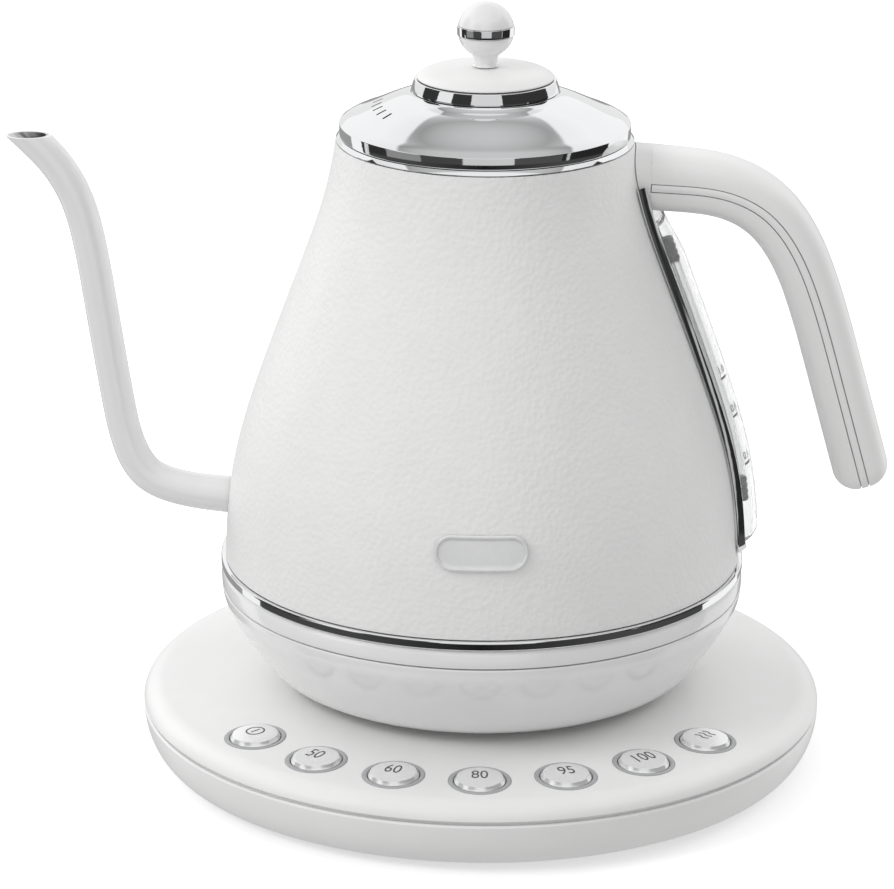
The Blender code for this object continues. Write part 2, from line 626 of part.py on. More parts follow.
def shell_section(side, half, scale, hollow):
    """Half section of the handle as (across, out) points; side is +1 outside, -1 inside."""
    width = HANDLE_HALF_WIDTH * (0.4 + 0.6 * scale)
    half = half * scale
    ledge = width - STRIP_DEPTH - GAP
    rest = STRIP_HALF + GAP
    steps = 6
    outer = []
    for i in range(steps + 1):
        turn = math.pi * i / steps
        out = rest + (half - rest) * abs(math.sin(turn)) ** 0.75
        across = math.copysign(abs(math.cos(turn)) ** 0.75, math.cos(turn)) * width
        outer.append((across, out))
    inner = []
    core = ledge - 1.4
    depth = max(0.0, half - HANDLE_WALL - GAP / 2) * hollow
    for i in range(steps + 1):
        turn = math.pi * i / steps
        out = GAP / 2 + depth * abs(math.sin(turn)) ** 0.6
        inner.append((math.copysign(abs(math.cos(turn)) ** 0.75, math.cos(turn)) * core, out))
    section = outer + [(-ledge, rest), (-ledge, GAP / 2)] + inner[::-1] + [(ledge, GAP / 2), (ledge, rest)]
    return [(across, side * out) for across, out in section]


def handle_stations():
    """Places, ways and distances along the handle, closer together at the rounded end."""
    places, ways, reach = smooth_line(HANDLE_LINE, 200)
    body = np.linspace(0, reach[-1] - HANDLE_NOSE, HANDLE_STATIONS)
    nose = reach[-1] - HANDLE_NOSE * np.array([0.62, 0.32, 0.12, 0.0])
    stops = np.concatenate([body, nose])
    points = np.stack([np.interp(stops, reach, places[:, k]) for k in (0, 1)], axis=1)
    heads = np.stack([np.interp(stops, reach, ways[:, k]) for k in (0, 1)], axis=1)
    return points, heads, stops


def place_section(section, place, way):
    """Maps (across, out) to the plane square to the way; out points to the outer side of the bend."""
    return [(place[0] - way[1] * out, across, place[1] + way[0] * out) for across, out in section]


def make_handle(parent):
    points, heads, stops = handle_stations()
    end = stops[-1]
    for name, side in (("handle_outer_shell", 1), ("handle_inner_shell", -1)):
        rings = []
        for place, way, stop in zip(points, heads, stops):
            scale = nose_scale(end - stop)
            hollow = 1.0 if end - stop > HANDLE_NOSE + 1.0 else 0.0
            section = shell_section(side, half_thickness(stop / end, side), scale, hollow)
            rings.append(place_section(section, place, way))
        shell = loft(name, rings, "white_satin", parent=parent)
        cut(shell, body_clearance(f"cutter_{name}"))
    for name, side in (("handle_strip_front", -1), ("handle_strip_back", 1)):
        rings = []
        for place, way, stop in zip(points, heads, stops):
            if place[0] < STRIP_START_X:
                continue
            width = HANDLE_HALF_WIDTH * (0.4 + 0.6 * nose_scale(end - stop))
            low = (width - STRIP_DEPTH) * side
            high = (width + 0.1) * side
            section = [(low, -STRIP_HALF), (high, -STRIP_HALF), (high, STRIP_HALF), (low, STRIP_HALF)]
            rings.append(place_section(section, place, way))
        loft(name, rings, "white_satin", parent=parent)
    make_bracket(parent)


def body_clearance(name):
    """Solid of the body, a gap larger, that trims what is fitted against it."""
    side = body_outline(-GAP - 0.15, 150.0, BODY_PROFILE[-1][0], 10)
    outline = [(0, 150.0), *side, (side[-1][0], 212.0), (0, 212.0)]
    return turned(name, outline, "white_body", 2 * BIG)


def bracket_screw_heights():
    return (191.0, 199.0)


def make_bracket(parent):
    """Steel strap inside the handle, screwed to the body from within."""
    heights = bracket_screw_heights()
    tilt = (body_radius(187.0) - body_radius(203.0)) / 16.0
    middle = sum(heights) / 2
    face = body_radius(middle) + 1.0

    def strap_x(z):
        return face + (middle - z) * tilt

    low = middle - 5.9
    high = middle + 5.9
    points, heads, stops = handle_stations()
    reach = [i for i, stop in enumerate(stops) if 8.0 < points[i][0] - face < 45.0]
    strap = [[(strap_x(low), y, low), (strap_x(high), y, high), (strap_x(high) + 2.0, y, high),
              (strap_x(low) + 2.0, y, low)] for y in (-6.0, 6.0)]
    plate = loft("handle_bracket", strap, "steel", parent=parent)
    bar = [(-5, -1.2), (5, -1.2), (5, 1.2), (-5, 1.2)]
    rings = [place_section(bar, (face + 1.0, middle), (1.0, 0.0))]
    rings += [place_section(bar, points[i], heads[i]) for i in reach]
    add(plate, loft("cutter_tongue", rings, "steel"))
    for number, z in enumerate(heights, 1):
        cut(plate, rod(f"cutter_strap_{number}", (40, 0, z), (62, 0, z), 1.5 + GAP, "steel"))
        head = body_radius(z) - BODY_WALL - 3 * GAP
        profile = [(0, -1.4), (1.7, -1.4), (2.2, -0.8), (2.2, 0), (1.4, 0), (1.4, 6.0), (0, 6.6)]
        screw = turned(f"handle_screw_{number}", profile, "steel", TINY, parent)
        screw.matrix_world = Matrix.Translation((head * MM, 0, z * MM)) @ Matrix.Rotation(math.pi / 2, 4, "Y")


# ---------------------------------------------------------------- gauge and emblem

def quarter_round(share):
    """Height of a quarter circle above its end, for a share of its run from 0 to 1."""
    return math.sqrt(1.0 - (1.0 - min(1.0, share)) ** 2)


def window_rise(z):
    """How far the window stands off the body: round at its foot, sloping to a blunt top."""
    foot = quarter_round((z - GAUGE_Z[0]) / GAUGE_FOOT)
    crown = 0.5 + 0.5 * min(1.0, (GAUGE_Z[1] - z) / GAUGE_CROWN)
    return 1.6 + (GAUGE_RISE - 1.6) * min(foot, crown)


def make_gauge(parent):
    low, high = GAUGE_Z
    inside = [low + (high - low) * i / 8 for i in range(2, 7)]
    heights = [low + e for e in (0.0, 0.5, 2.2, 3.4, GAUGE_FOOT)] + inside
    heights += [high - e for e in (GAUGE_CROWN, 8.5, 2.4, 0.6, 0.0)]
    rings = []
    for z in heights:
        left = min(z - low, high - z)
        half = GAUGE_HALF - FRAME_CORNER * (1.0 - quarter_round((z - low) / FRAME_CORNER))
        rise = window_rise(z)
        hollow = rise - GAUGE_WALL - GAUGE_LIFT if left > 2.0 else 0.0
        outer = []
        inner = []
        for i in range(7):
            turn = math.pi * i / 6
            bump = math.sin(turn) ** 0.7
            outer.append((math.cos(turn) * half, GAUGE_LIFT + (rise - GAUGE_LIFT) * bump))
            inner.append((math.cos(turn) * (half - GAUGE_WALL), GAUGE_LIFT + hollow * bump))
        section = outer + inner[::-1]
        rings.append([on_body(0.0, across, z, out) for across, out in section])
    loft("gauge_window", rings, "clear_plastic", parent=parent)
    make_gauge_frame(parent)
    make_sight_tube(parent)


def make_gauge_frame(parent):
    """Chrome surround: a small section carried down one side of the window, under it and up the other."""
    low = GAUGE_Z[0] - FRAME_MARGIN
    corner = FRAME_CORNER
    half = FRAME_HALF - 1.3
    stops = [low + corner + (FRAME_TOP_Z - low - corner) * i / 11 for i in range(1, 12)]
    path = [(-half, z, -1.0, 0.0) for z in reversed(stops)]
    for across, start in ((corner - half, 180), (half - corner, 270)):
        for degrees in (start, start + 45, start + 90):
            angle = math.radians(degrees)
            path.append((across + corner * math.cos(angle), low + corner + corner * math.sin(angle),
                         math.cos(angle), math.sin(angle)))
    path += [(half, z, 1.0, 0.0) for z in stops]
    section = ((-1.2, GAUGE_LIFT), (1.2, GAUGE_LIFT), (1.2, FRAME_RISE - 0.4), (0.8, FRAME_RISE),
               (-1.2, FRAME_RISE))
    rings = []
    for across, z, out_a, out_z in path:
        ring = []
        for offset, lift in section:
            ring.append(on_body(0.0, across + out_a * offset, z + out_z * offset, lift))
        rings.append(ring)
    loft("gauge_frame", rings, "chrome", parent=parent)


def gauge_station(z, radius, sides):
    """Ring round the sight tube's centre line at a height."""
    centre = Vector(on_body(0.0, 0.0, z, TUBE_OFFSET))
    above = Vector(on_body(0.0, 0.0, z + 1.0, TUBE_OFFSET))
    way = (above - centre).normalized()
    return circle_ring((centre.x, centre.z), (way.x, way.z), radius, sides)


def make_sight_tube(parent):
    low = SEAL_Z[0] + SEAL_LENGTH / 2 + GAP
    high = SEAL_Z[1] - SEAL_LENGTH / 2 - GAP
    heights = [low + (high - low) * i / 8 for i in range(9)]
    outer = [gauge_station(z, TUBE_R, 8) for z in heights]
    bore = [gauge_station(z, TUBE_R - 0.6, 8) for z in heights]
    loft("gauge_tube", outer + bore[::-1], "clear_plastic", closed=True, parent=parent)
    for name, middle in zip(("gauge_seal_lower", "gauge_seal_upper"), SEAL_Z):
        rings = []
        for rib in range(9):
            z = middle - SEAL_LENGTH / 2 + SEAL_LENGTH * rib / 8
            rings.append(gauge_station(z, 2.15 if rib % 2 else 1.75, 10))
        loft(name, rings, "black_rubber", parent=parent)


def make_emblem(parent):
    """Blank plate with a raised rim."""
    half = EMBLEM_HALF_LENGTH - EMBLEM_HALF_HEIGHT
    quarter = [math.radians(i * 15) for i in range(7)]
    upper = [(half, EMBLEM_HALF_HEIGHT * math.cos(a), EMBLEM_HALF_HEIGHT * math.sin(a)) for a in quarter]
    upper += [(half * k, 0.0, EMBLEM_HALF_HEIGHT) for k in (0.5, 0.0)]
    upper += [(-centre, -across, up) for centre, across, up in reversed(upper[:-1])]
    outline = upper + [(centre, across, -up) for centre, across, up in reversed(upper[1:-1])]
    rings = []
    for inset, lift in ((5.0, 0.5), (0.0, 0.5), (0.0, 1.0), (0.4, 1.4), (1.1, 1.4), (1.5, 0.9), (5.0, 0.9)):
        scale = 1.0 - inset / EMBLEM_HALF_HEIGHT
        ring = [on_body(-90.0, c + a * scale, EMBLEM_Z + b * scale, lift) for c, a, b in outline]
        rings.append(ring)
    loft("emblem_plate", rings, "chrome", ladder=True, parent=parent)


# ---------------------------------------------------------------- lid

def lid_outline():
    """Outside of the lid cone, from the collar to the bottom of the rim."""
    shoulder = [(24.5, 222.0), (26.3, 221.3), (29.4, 220.4), (36.0, 217.7), (42.5, 214.8), (45.6, 213.4)]
    return [(COLLAR_R - 0.2, COLLAR_Z[0] - GAP)] + shoulder + [(LID_R, LID_RIM_Z), (LID_R, LID_BOTTOM_Z)]


def make_lid(parent):
    outside = lid_outline()
    inside = [(r - LID_WALL * 0.7, z - LID_WALL) for r, z in outside[1:-2]]
    inside = [(outside[0][0] - 2.0, outside[0][1] - 1.0)] + inside + [(LID_R - LID_WALL, LID_RIM_Z - 1.0)]
    top = [(outside[0][0] - 2.0, outside[0][1])]
    shell = turned("lid_shell", outside + [(LID_R - LID_WALL, LID_BOTTOM_Z), *reversed(inside), *top],
                   "chrome", BIG, parent)
    for number in range(VENT_COUNT):
        degrees = VENT_FIRST_DEG + number * VENT_STEP_DEG
        low = Vector(polar(VENT_R - 1.6, degrees, 210.0))
        high = Vector(polar(VENT_R + 1.6, degrees, 210.0))
        cut(shell, slot_tool(f"cutter_vent_{number + 1}", low, high))
    low, high = COLLAR_Z
    inner = CAP_R - 4.0
    turned("lid_collar", [(inner, low), (COLLAR_R, low), (COLLAR_R - 0.5, low + 1.4), (CAP_R + 0.5, high),
                          (inner, high)], "chrome", BIG, parent)
    base = high + GAP
    cap = [(0, base), (CAP_R, base), (CAP_R - 0.1, base + 0.6), (CAP_R - 1.6, base + 1.5), (15.0, base + 3.0),
           (7.5, CAP_TOP_Z - 0.2), (0, CAP_TOP_Z)]
    turned("lid_cap", cap, "white_satin", BIG, parent)
    make_knob(parent)
    cup_r = PLUG_WALL_R
    flange = LID_BOTTOM_Z + 1.0
    flange_r = LID_R - LID_WALL - GAP
    cup = [(0, PLUG_FLOOR_Z), (cup_r - 1.0, PLUG_FLOOR_Z), (cup_r, PLUG_FLOOR_Z + 1.0), (cup_r, flange),
           (flange_r, flange), (flange_r, flange + 1.0), (cup_r - 1.0, flange + 1.0),
           (cup_r - 1.0, PLUG_FLOOR_Z + 1.2), (0, PLUG_FLOOR_Z + 1.2)]
    turned("lid_inner_cup", cup, "steel", BIG, parent)
    inner = cup_r + GAP
    outer = body_radius(204.0) - VESSEL_INSET - VESSEL_WALL - GAP
    gasket = [(inner, 202.0), (outer - 0.4, 202.0), (outer, 203.0), (outer - 0.4, 204.0), (inner, 204.0)]
    turned("lid_gasket", gasket, "black_rubber", BIG, parent)


def slot_tool(name, low, high):
    """Upright slab that cuts one narrow vent through the lid."""
    way = (high - low).normalized() * 0.5
    side = Vector((-way.y, way.x, 0))
    corners = [low - side, high - side, high + side, low + side]
    rings = [[(c.x, c.y, z) for c in corners] for z in (212.0, 225.0)]
    return loft(name, rings, "chrome")


def make_knob(parent):
    """Ball in two halves with a chrome band between them."""
    low, high = KNOB_BAND_Z

    def on_ball(z):
        return (math.sqrt(max(0.0, KNOB_R ** 2 - (z - KNOB_Z) ** 2)), z)

    foot = CAP_TOP_Z + GAP
    neck = [(0, foot), (KNOB_NECK_R + 0.4, foot), (KNOB_NECK_R, foot + 1.0)]
    lower = [on_ball(z) for z in (235.0, 236.8, 238.8, low - GAP)]
    turned("knob_lower", neck + lower + [(0, low - GAP)], "white_gloss", SMALL, parent)
    wide = KNOB_R + 0.15
    band = [(0, low), (wide - 0.3, low), (wide, low + 0.4), (wide, high - 0.4), (wide - 0.3, high), (0, high)]
    turned("knob_band", band, "chrome", SMALL, parent)
    start = math.degrees(math.asin((high + GAP - KNOB_Z) / KNOB_R))
    upper = arc((0, KNOB_Z), (KNOB_R, KNOB_R), start, 90, 5)
    turned("knob_upper", [(0, high + GAP), *upper[:-1], (0, KNOB_Z + KNOB_R)], "white_gloss", SMALL, parent)


def main():
    for old in list(bpy.data.objects):
        bpy.data.objects.remove(old, do_unlink=True)
    make_base_top()
    make_base_bottom()
    make_feet_and_screws()
    make_boards()
    make_gland()
    make_buttons()
    swivel = make_connector()
    kettle = empty("kettle_lift", (0, 0, 0))
    kettle.parent = swivel
    make_body(kettle)
    make_vessel(kettle)
    make_rings(kettle)
    make_heater(kettle)
    make_spout(kettle)
    make_handle(kettle)
    make_gauge(kettle)
    make_emblem(kettle)
    lid = empty("lid_lift", (0, 0, 0))
    lid.parent = kettle
    make_lid(lid)


main()
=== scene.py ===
"""Looks of the gooseneck kettle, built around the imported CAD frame.

Lengths are in millimetres until a mesh is made. +Z is up, the spout points along -X and the
buttons face -Y. The sizes are those of the CAD model; the pieces here are finer versions of its
nodes, with the same outlines.
"""
import json
import math

import bmesh
import bpy
import numpy as np
from mathutils import Matrix, Vector


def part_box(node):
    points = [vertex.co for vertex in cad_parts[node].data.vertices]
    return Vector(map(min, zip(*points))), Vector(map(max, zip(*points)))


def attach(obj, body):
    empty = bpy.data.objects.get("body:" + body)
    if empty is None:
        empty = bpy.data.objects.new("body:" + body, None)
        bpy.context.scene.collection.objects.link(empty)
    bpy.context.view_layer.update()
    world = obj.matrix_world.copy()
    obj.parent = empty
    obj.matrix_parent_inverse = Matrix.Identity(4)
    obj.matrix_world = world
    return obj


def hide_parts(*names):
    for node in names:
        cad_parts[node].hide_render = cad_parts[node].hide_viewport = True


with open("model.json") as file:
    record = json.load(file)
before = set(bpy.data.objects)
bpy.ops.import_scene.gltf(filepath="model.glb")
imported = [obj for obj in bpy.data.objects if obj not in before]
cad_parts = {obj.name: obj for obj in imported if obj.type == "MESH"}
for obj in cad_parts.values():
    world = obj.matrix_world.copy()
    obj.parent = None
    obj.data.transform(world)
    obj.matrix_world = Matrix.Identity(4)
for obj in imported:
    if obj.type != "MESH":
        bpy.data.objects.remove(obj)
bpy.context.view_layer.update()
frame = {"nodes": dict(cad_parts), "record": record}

MM = 0.001
GAP = 0.3                       # clearance between separate pieces
FINE = 192                      # sides of the large turned pieces
MEDIUM = 96                     # sides of the small ones
SHARP_DEG = 34.0                # edges that turn more than this stay sharp

# Base
BASE_R = 112.5
BASE_SEAM_Z = 16.2
BASE_FOOT_R = 105.0
BASE_CROWN_Z = 26.2
BASE_DOME = 0.000278            # the top falls by this times the radius squared
BASE_EDGE_R = 105.0
BASE_WALL = 2.4
GROOVE = 1.1
SEAT_R = 53.0
SEAT_Z = 26.4
FOOT_PITCH_R = 84.0
FOOT_DEG = (45.0, 135.0, 225.0, 315.0)
FOOT_R = 6.5
FOOT_DROP = 1.5
SCREW_PITCH_R = 70.0
SCREW_DEG = (30.0, 150.0, 270.0)
GLAND_Z = 8.0

# Buttons
BUTTON_COUNT = 7
BUTTON_PITCH_R = 93.6
BUTTON_STEP_DEG = 16.85
BUTTON_R = 8.1
BUTTON_FACE_R = BUTTON_R - 0.9
BUTTON_RISE = 1.25
BUTTON_CROWN = 0.35
LABEL_BACK = 1.3                # the print is set back from the cap's middle
LABEL_SIZE = 5.6
LABEL_STRETCH = 1.4
STROKE_HALF = 0.26
WAVE_HALF = 0.24
RING_R = 9.9

# Connector
PLUG_R = 14.0
PLUG_Z = 35.5
PIN_R = 2.0
PIN_Z = 37.0
SOCKET_R = 19.0
SOCKET_Z = 42.0
UNDERSIDE_Z = 27.4

# Kettle
BODY_PROFILE = ((67.4, 84.8), (97.0, 82.0), (129.0, 72.9), (162.0, 60.8), (194.0, 50.4),
                (206.9, 48.0))
BODY_WALL = 1.6
VESSEL_INSET = 5.0
VESSEL_WALL = 1.0
VESSEL_FLOOR_Z = 62.0
VESSEL_NECK_Z = 204.0
BAND_PROFILE = ((82.4, 64.2), (85.6, 64.2), (86.02, 64.28), (86.18, 64.46), (86.2, 64.6),
                (86.2, 64.75), (86.2, 66.45), (86.2, 66.6), (86.17, 66.76), (85.98, 66.98),
                (85.5, 67.1), (82.4, 67.1))
BOWL_HOLE_R = 64.0
SKIRT_PROFILE = ((86.0, 57.6), (85.4, 54.0), (83.6, 50.0), (79.9, 43.6), (75.0, 36.4),
                 (69.6, 30.2), (BOWL_HOLE_R, 27.5))
SKIRT_WALL = 2.2
SKIRT_RING_Z = (58.0, 63.9)

# Spout
SPOUT_LINE = ((-78.6, 85.1), (-87.0, 85.9), (-100.0, 88.0), (-110.4, 92.9), (-116.2, 103.0),
              (-119.7, 119.0), (-124.7, 152.0), (-128.2, 173.5), (-132.4, 188.0), (-139.5, 199.6),
              (-146.9, 207.4))
SPOUT_ROOT_R = 6.1
SPOUT_TIP_R = 5.3
SPOUT_WALL = 1.1
SPOUT_MOUTH_Z = 207.2

# Handle
HANDLE_LINE = ((44.0, 194.6), (62.0, 193.7), (76.0, 192.0), (89.3, 185.9), (99.3, 174.0),
               (106.4, 158.0), (113.9, 133.6), (125.6, 92.4))
HANDLE_HALF_WIDTH = 12.0
HANDLE_ROOT_HALF = 10.2
HANDLE_END_HALF = 9.15
HANDLE_NOSE = 6.0
SEAM_DROP = 1.1                 # the seam starts this far below the middle
SEAM_LEVEL_SHARE = 0.31         # and is level with it after this share of the handle
STRIP_HALF = 1.15
STRIP_DEPTH = 1.4
STRIP_START_X = 53.0
SHELL_SEAM = 0.02
HANDLE_SQUARE = 0.75            # 1 is a round section, 0 a square one

# Gauge
GAUGE_Z = (73.2, 182.5)
GAUGE_HALF = 12.6
GAUGE_RISE = 6.8
GAUGE_FOOT = 5.0
GAUGE_CROWN = 14.0
GAUGE_WALL = 1.2
GAUGE_LIFT = 0.6
GAUGE_TOP_RISE = 1.6
WINDOW_SQUARE = 0.7
FRAME_HALF = 15.6
FRAME_RISE = 3.0
FRAME_TOP_Z = 194.4
FRAME_CORNER = 4.0
FRAME_MARGIN = 1.6
FRAME_STRIP_HALF = 1.2
MARKS = ((99.8, "0.5"), (115.6, "0.8"), (128.2, "1.0"))
MARK_ASIDE = 8.0
SEAL_Z = (89.0, 170.0)
SEAL_LENGTH = 8.0
SEAL_R = 1.78
SEAL_RIB = 0.37
SEAL_RIBS = 4
TUBE_R = 1.8
TUBE_WALL = 0.6
TUBE_OFFSET = 2.6

# Emblem
EMBLEM_Z = 95.4
EMBLEM_HALF_LENGTH = 15.2
EMBLEM_HALF_HEIGHT = 5.9

# Lid
LID_R = 46.8
LID_BOTTOM_Z = 208.7
LID_RIM_Z = 212.6
LID_WALL = 1.2
COLLAR_R = 23.8
COLLAR_Z = (223.35, 227.1)
CAP_R = 22.1
CAP_TOP_Z = 230.9
NECK_RING_Z = (207.2, 208.4)
PLUG_WALL_R = 41.0
PLUG_FLOOR_Z = 200.0
VENT_COUNT = 5
VENT_R = 34.8
VENT_FIRST_DEG = 172.6
VENT_STEP_DEG = 8.6
VENT_HALF_LENGTH = 1.6
VENT_WIDTH = 0.95
KNOB_R = 9.05
KNOB_Z = 242.8
KNOB_BAND_Z = (241.2, 244.3)
KNOB_NECK_R = 3.8
KNOB_SEAM = 0.12


# ---------------------------------------------------------------- materials

class Tree:
    """A Principled material whose colour, roughness and bump are built up from nodes."""

    def __init__(self, name, colour, roughness, metallic=0.0, **sockets):
        self.material = bpy.data.materials.new(name)
        self.material.use_nodes = True
        self.nodes = self.material.node_tree.nodes
        self.links = self.material.node_tree.links
        self.shader = self.nodes["Principled BSDF"]
        self.colour = colour
        self.shader.inputs["Base Color"].default_value = (*colour, 1.0)
        self.shader.inputs["Roughness"].default_value = roughness
        self.shader.inputs["Metallic"].default_value = metallic
        for socket, value in sockets.items():
            self.shader.inputs[socket.replace("_", " ")].default_value = value
        self.roughness = roughness
        self.normal = None
        self.place = self.nodes.new("ShaderNodeTexCoord").outputs["Object"]

    def mapped(self, stretch):
        """Object coordinates, scaled per axis for brushed or drawn surfaces."""
        mapping = self.nodes.new("ShaderNodeMapping")
        mapping.inputs["Scale"].default_value = stretch
        self.links.new(self.place, mapping.inputs["Vector"])
        return mapping.outputs["Vector"]

    def noise(self, scale, detail=2.0, stretch=(1.0, 1.0, 1.0)):
        made = self.nodes.new("ShaderNodeTexNoise")
        made.inputs["Scale"].default_value = scale
        made.inputs["Detail"].default_value = detail
        self.links.new(self.mapped(stretch), made.inputs["Vector"])
        return made.outputs["Fac"]

    def cells(self, scale, warp):
        """Distance field of soft cells, with their walls bent by a noise."""
        bend = self.nodes.new("ShaderNodeTexNoise")
        bend.inputs["Scale"].default_value = scale * 0.6
        self.links.new(self.place, bend.inputs["Vector"])
        shift = self.nodes.new("ShaderNodeVectorMath")
        shift.operation = "MULTIPLY_ADD"
        shift.inputs[1].default_value = (warp, warp, warp)
        self.links.new(bend.outputs["Color"], shift.inputs[0])
        self.links.new(self.place, shift.inputs[2])
        made = self.nodes.new("ShaderNodeTexVoronoi")
        made.feature = "SMOOTH_F1"
        made.inputs["Scale"].default_value = scale
        made.inputs["Smoothness"].default_value = 0.35
        self.links.new(shift.outputs["Vector"], made.inputs["Vector"])
        return made.outputs["Distance"]

    def ranged(self, source, low, high):
        """The middle of a noise's range, spread over low to high."""
        made = self.nodes.new("ShaderNodeMapRange")
        for socket, value in zip(("From Min", "From Max", "To Min", "To Max"), (0.3, 0.7, low, high)):
            made.inputs[socket].default_value = value
        self.links.new(source, made.inputs["Value"])
        return made.outputs["Result"]

    def tint(self, scale, amount, stretch=(1.0, 1.0, 1.0)):
        """Colour wanders by a small share on each side of the base colour."""
        mix = self.nodes.new("ShaderNodeMix")
        mix.data_type = "RGBA"
        share = self.ranged(self.noise(scale, 3.0, stretch), 0.0, 1.0)
        self.links.new(share, mix.inputs["Factor"])
        mix.inputs["A"].default_value = (*[c * (1 - amount) for c in self.colour], 1.0)
        mix.inputs["B"].default_value = (*[min(1.0, c * (1 + amount)) for c in self.colour], 1.0)
        self.links.new(mix.outputs["Result"], self.shader.inputs["Base Color"])
        return self

    def smear(self, scale, amount, stretch=(1.0, 1.0, 1.0)):
        """Roughness wanders around its mean."""
        low = max(0.01, self.roughness - amount)
        source = self.ranged(self.noise(scale, 3.0, stretch), low, self.roughness + amount)
        self.links.new(source, self.shader.inputs["Roughness"])
        return self

    def bump(self, source, height_mm, strength=1.0):
        made = self.nodes.new("ShaderNodeBump")
        made.inputs["Strength"].default_value = strength
        made.inputs["Distance"].default_value = height_mm * MM
        self.links.new(source, made.inputs["Height"])
        if self.normal is not None:
            self.links.new(self.normal, made.inputs["Normal"])
        self.normal = made.outputs["Normal"]
        self.links.new(self.normal, self.shader.inputs["Normal"])
        return self


BRUSHED = (1.0, 1.0, 30.0)
DRAWN = (1.0, 1.0, 8.0)


def dressed(name, colour, roughness, metallic=0.0, tint=None, smear=None, bump=None, **sockets):
    """A material whose tint, smear and bump follow noises; bump ends with a height and a strength."""
    tree = Tree(name, colour, roughness, metallic, **sockets)
    if tint:
        tree.tint(*tint)
    tree.smear(*smear)
    if bump:
        *noise, height_mm, strength = bump
        tree.bump(tree.noise(*noise), height_mm, strength)
    return tree


def make_materials():
    """The finishes: a slot of the record, or a name of this script's own, for each."""
    made = {
        "white_body": dressed("grained_white_coat", (0.80, 0.80, 0.795), 0.46,
                              tint=(90, 0.012), smear=(700, 0.07)),
        "white_gloss": dressed("gloss_white_moulding", (0.80, 0.80, 0.80), 0.16,
                               tint=(60, 0.01), smear=(180, 0.04), bump=(140, 2.0, 0.02, 0.25),
                               Coat_Weight=0.5, Coat_Roughness=0.06),
        "white_satin": dressed("satin_white_moulding", (0.81, 0.81, 0.805), 0.34,
                               tint=(70, 0.01), smear=(260, 0.05), bump=(2200, 2.0, 0.02, 0.3)),
        "chrome": dressed("polished_chrome", (0.88, 0.885, 0.895), 0.045, 1.0,
                          tint=(40, 0.015), smear=(120, 0.012)),
        "steel": dressed("brushed_steel", (0.62, 0.62, 0.615), 0.27, 1.0,
                         tint=(30, 0.04, BRUSHED), smear=(60, 0.07, (1.0, 1.0, 40.0)),
                         bump=(120, 4.0, BRUSHED, 0.02, 0.3)),
        "silver_button": dressed("satin_silver_cap", (0.92, 0.92, 0.925), 0.22, 0.5,
                                 tint=(2600, 0.012), smear=(1500, 0.04), bump=(4200, 2.0, 0.008, 0.2)),
        "grey_ring": dressed("frosted_grey_ring", (0.40, 0.405, 0.41), 0.36,
                             tint=(500, 0.04), smear=(600, 0.06), bump=(1800, 2.0, 0.02, 0.3)),
        "black_rubber": dressed("black_rubber", (0.018, 0.018, 0.018), 0.62,
                                tint=(400, 0.25), smear=(500, 0.08), bump=(1600, 3.0, 0.04, 0.5)),
        "clear_plastic": dressed("clear_moulding", (0.955, 0.96, 0.96), 0.07,
                                 smear=(90, 0.03), bump=(160, 2.0, 0.02, 0.15),
                                 IOR=1.49, Transmission_Weight=0.93),
        "hazy_plastic": dressed("clear_cover", (0.96, 0.963, 0.966), 0.03,
                                smear=(90, 0.04), bump=(160, 2.0, 0.02, 0.15),
                                IOR=1.09, Transmission_Weight=0.88),
        "black_plastic": dressed("black_moulding", (0.02, 0.02, 0.021), 0.38,
                                 tint=(300, 0.2), smear=(400, 0.07), bump=(1900, 2.0, 0.02, 0.3)),
        "circuit_board": dressed("circuit_board_mask", (0.02, 0.16, 0.07), 0.35,
                                 tint=(160, 0.35), smear=(200, 0.08),
                                 bump=(420, 1.0, (1.0, 5.0, 1.0), 0.05, 0.4)),
        "brass": dressed("brass_contact", (0.78, 0.57, 0.25), 0.22, 1.0,
                         tint=(120, 0.06), smear=(200, 0.06, DRAWN), bump=(300, 3.0, DRAWN, 0.01, 0.3)),
        "silver_plate": dressed("satin_silver_plate", (0.80, 0.803, 0.808), 0.33, 0.3,
                                tint=(500, 0.015), smear=(700, 0.04), bump=(1200, 2.0, 0.006, 0.2)),
        "ink": dressed("printed_ink", (0.075, 0.077, 0.08), 0.45, tint=(900, 0.12), smear=(900, 0.05)),
    }
    grain = made["white_body"]
    grain.bump(grain.cells(560, 0.001), 0.25, 0.7)
    grain.bump(grain.noise(1500, 3.0), 0.06, 0.5)
    return {name: tree.material for name, tree in made.items()}


MATERIALS = make_materials()


# ---------------------------------------------------------------- mesh tools

def mesh_from(name, mesh_data):
    """Writes a bmesh to a new mesh and frees it."""
    mesh = bpy.data.meshes.new(name)
    mesh_data.to_mesh(mesh)
    mesh_data.free()
    return mesh


def linked(name, data):
    """A new object in the scene."""
    made = bpy.data.objects.new(name, data)
    bpy.context.scene.collection.objects.link(made)
    return made


def smooth(mesh, sharp_deg):
    mesh.shade_smooth()
    mesh.set_sharp_from_angle(angle=math.radians(sharp_deg))


def finish(name, mesh_data, finish_name, sharp_deg=SHARP_DEG):
    """Turns a bmesh in millimetres into a smooth shaded object with outward faces."""
    bmesh.ops.remove_doubles(mesh_data, verts=mesh_data.verts, dist=0.0008)
    bmesh.ops.recalc_face_normals(mesh_data, faces=mesh_data.faces)
    if mesh_data.calc_volume(signed=True) < 0:
        bmesh.ops.reverse_faces(mesh_data, faces=mesh_data.faces)
    bmesh.ops.scale(mesh_data, vec=(MM, MM, MM), verts=mesh_data.verts)
    mesh = mesh_from(name, mesh_data)
    smooth(mesh, sharp_deg)
    mesh.materials.append(MATERIALS[finish_name])
    made = linked(name, mesh)
    made["finish"] = finish_name
    return made


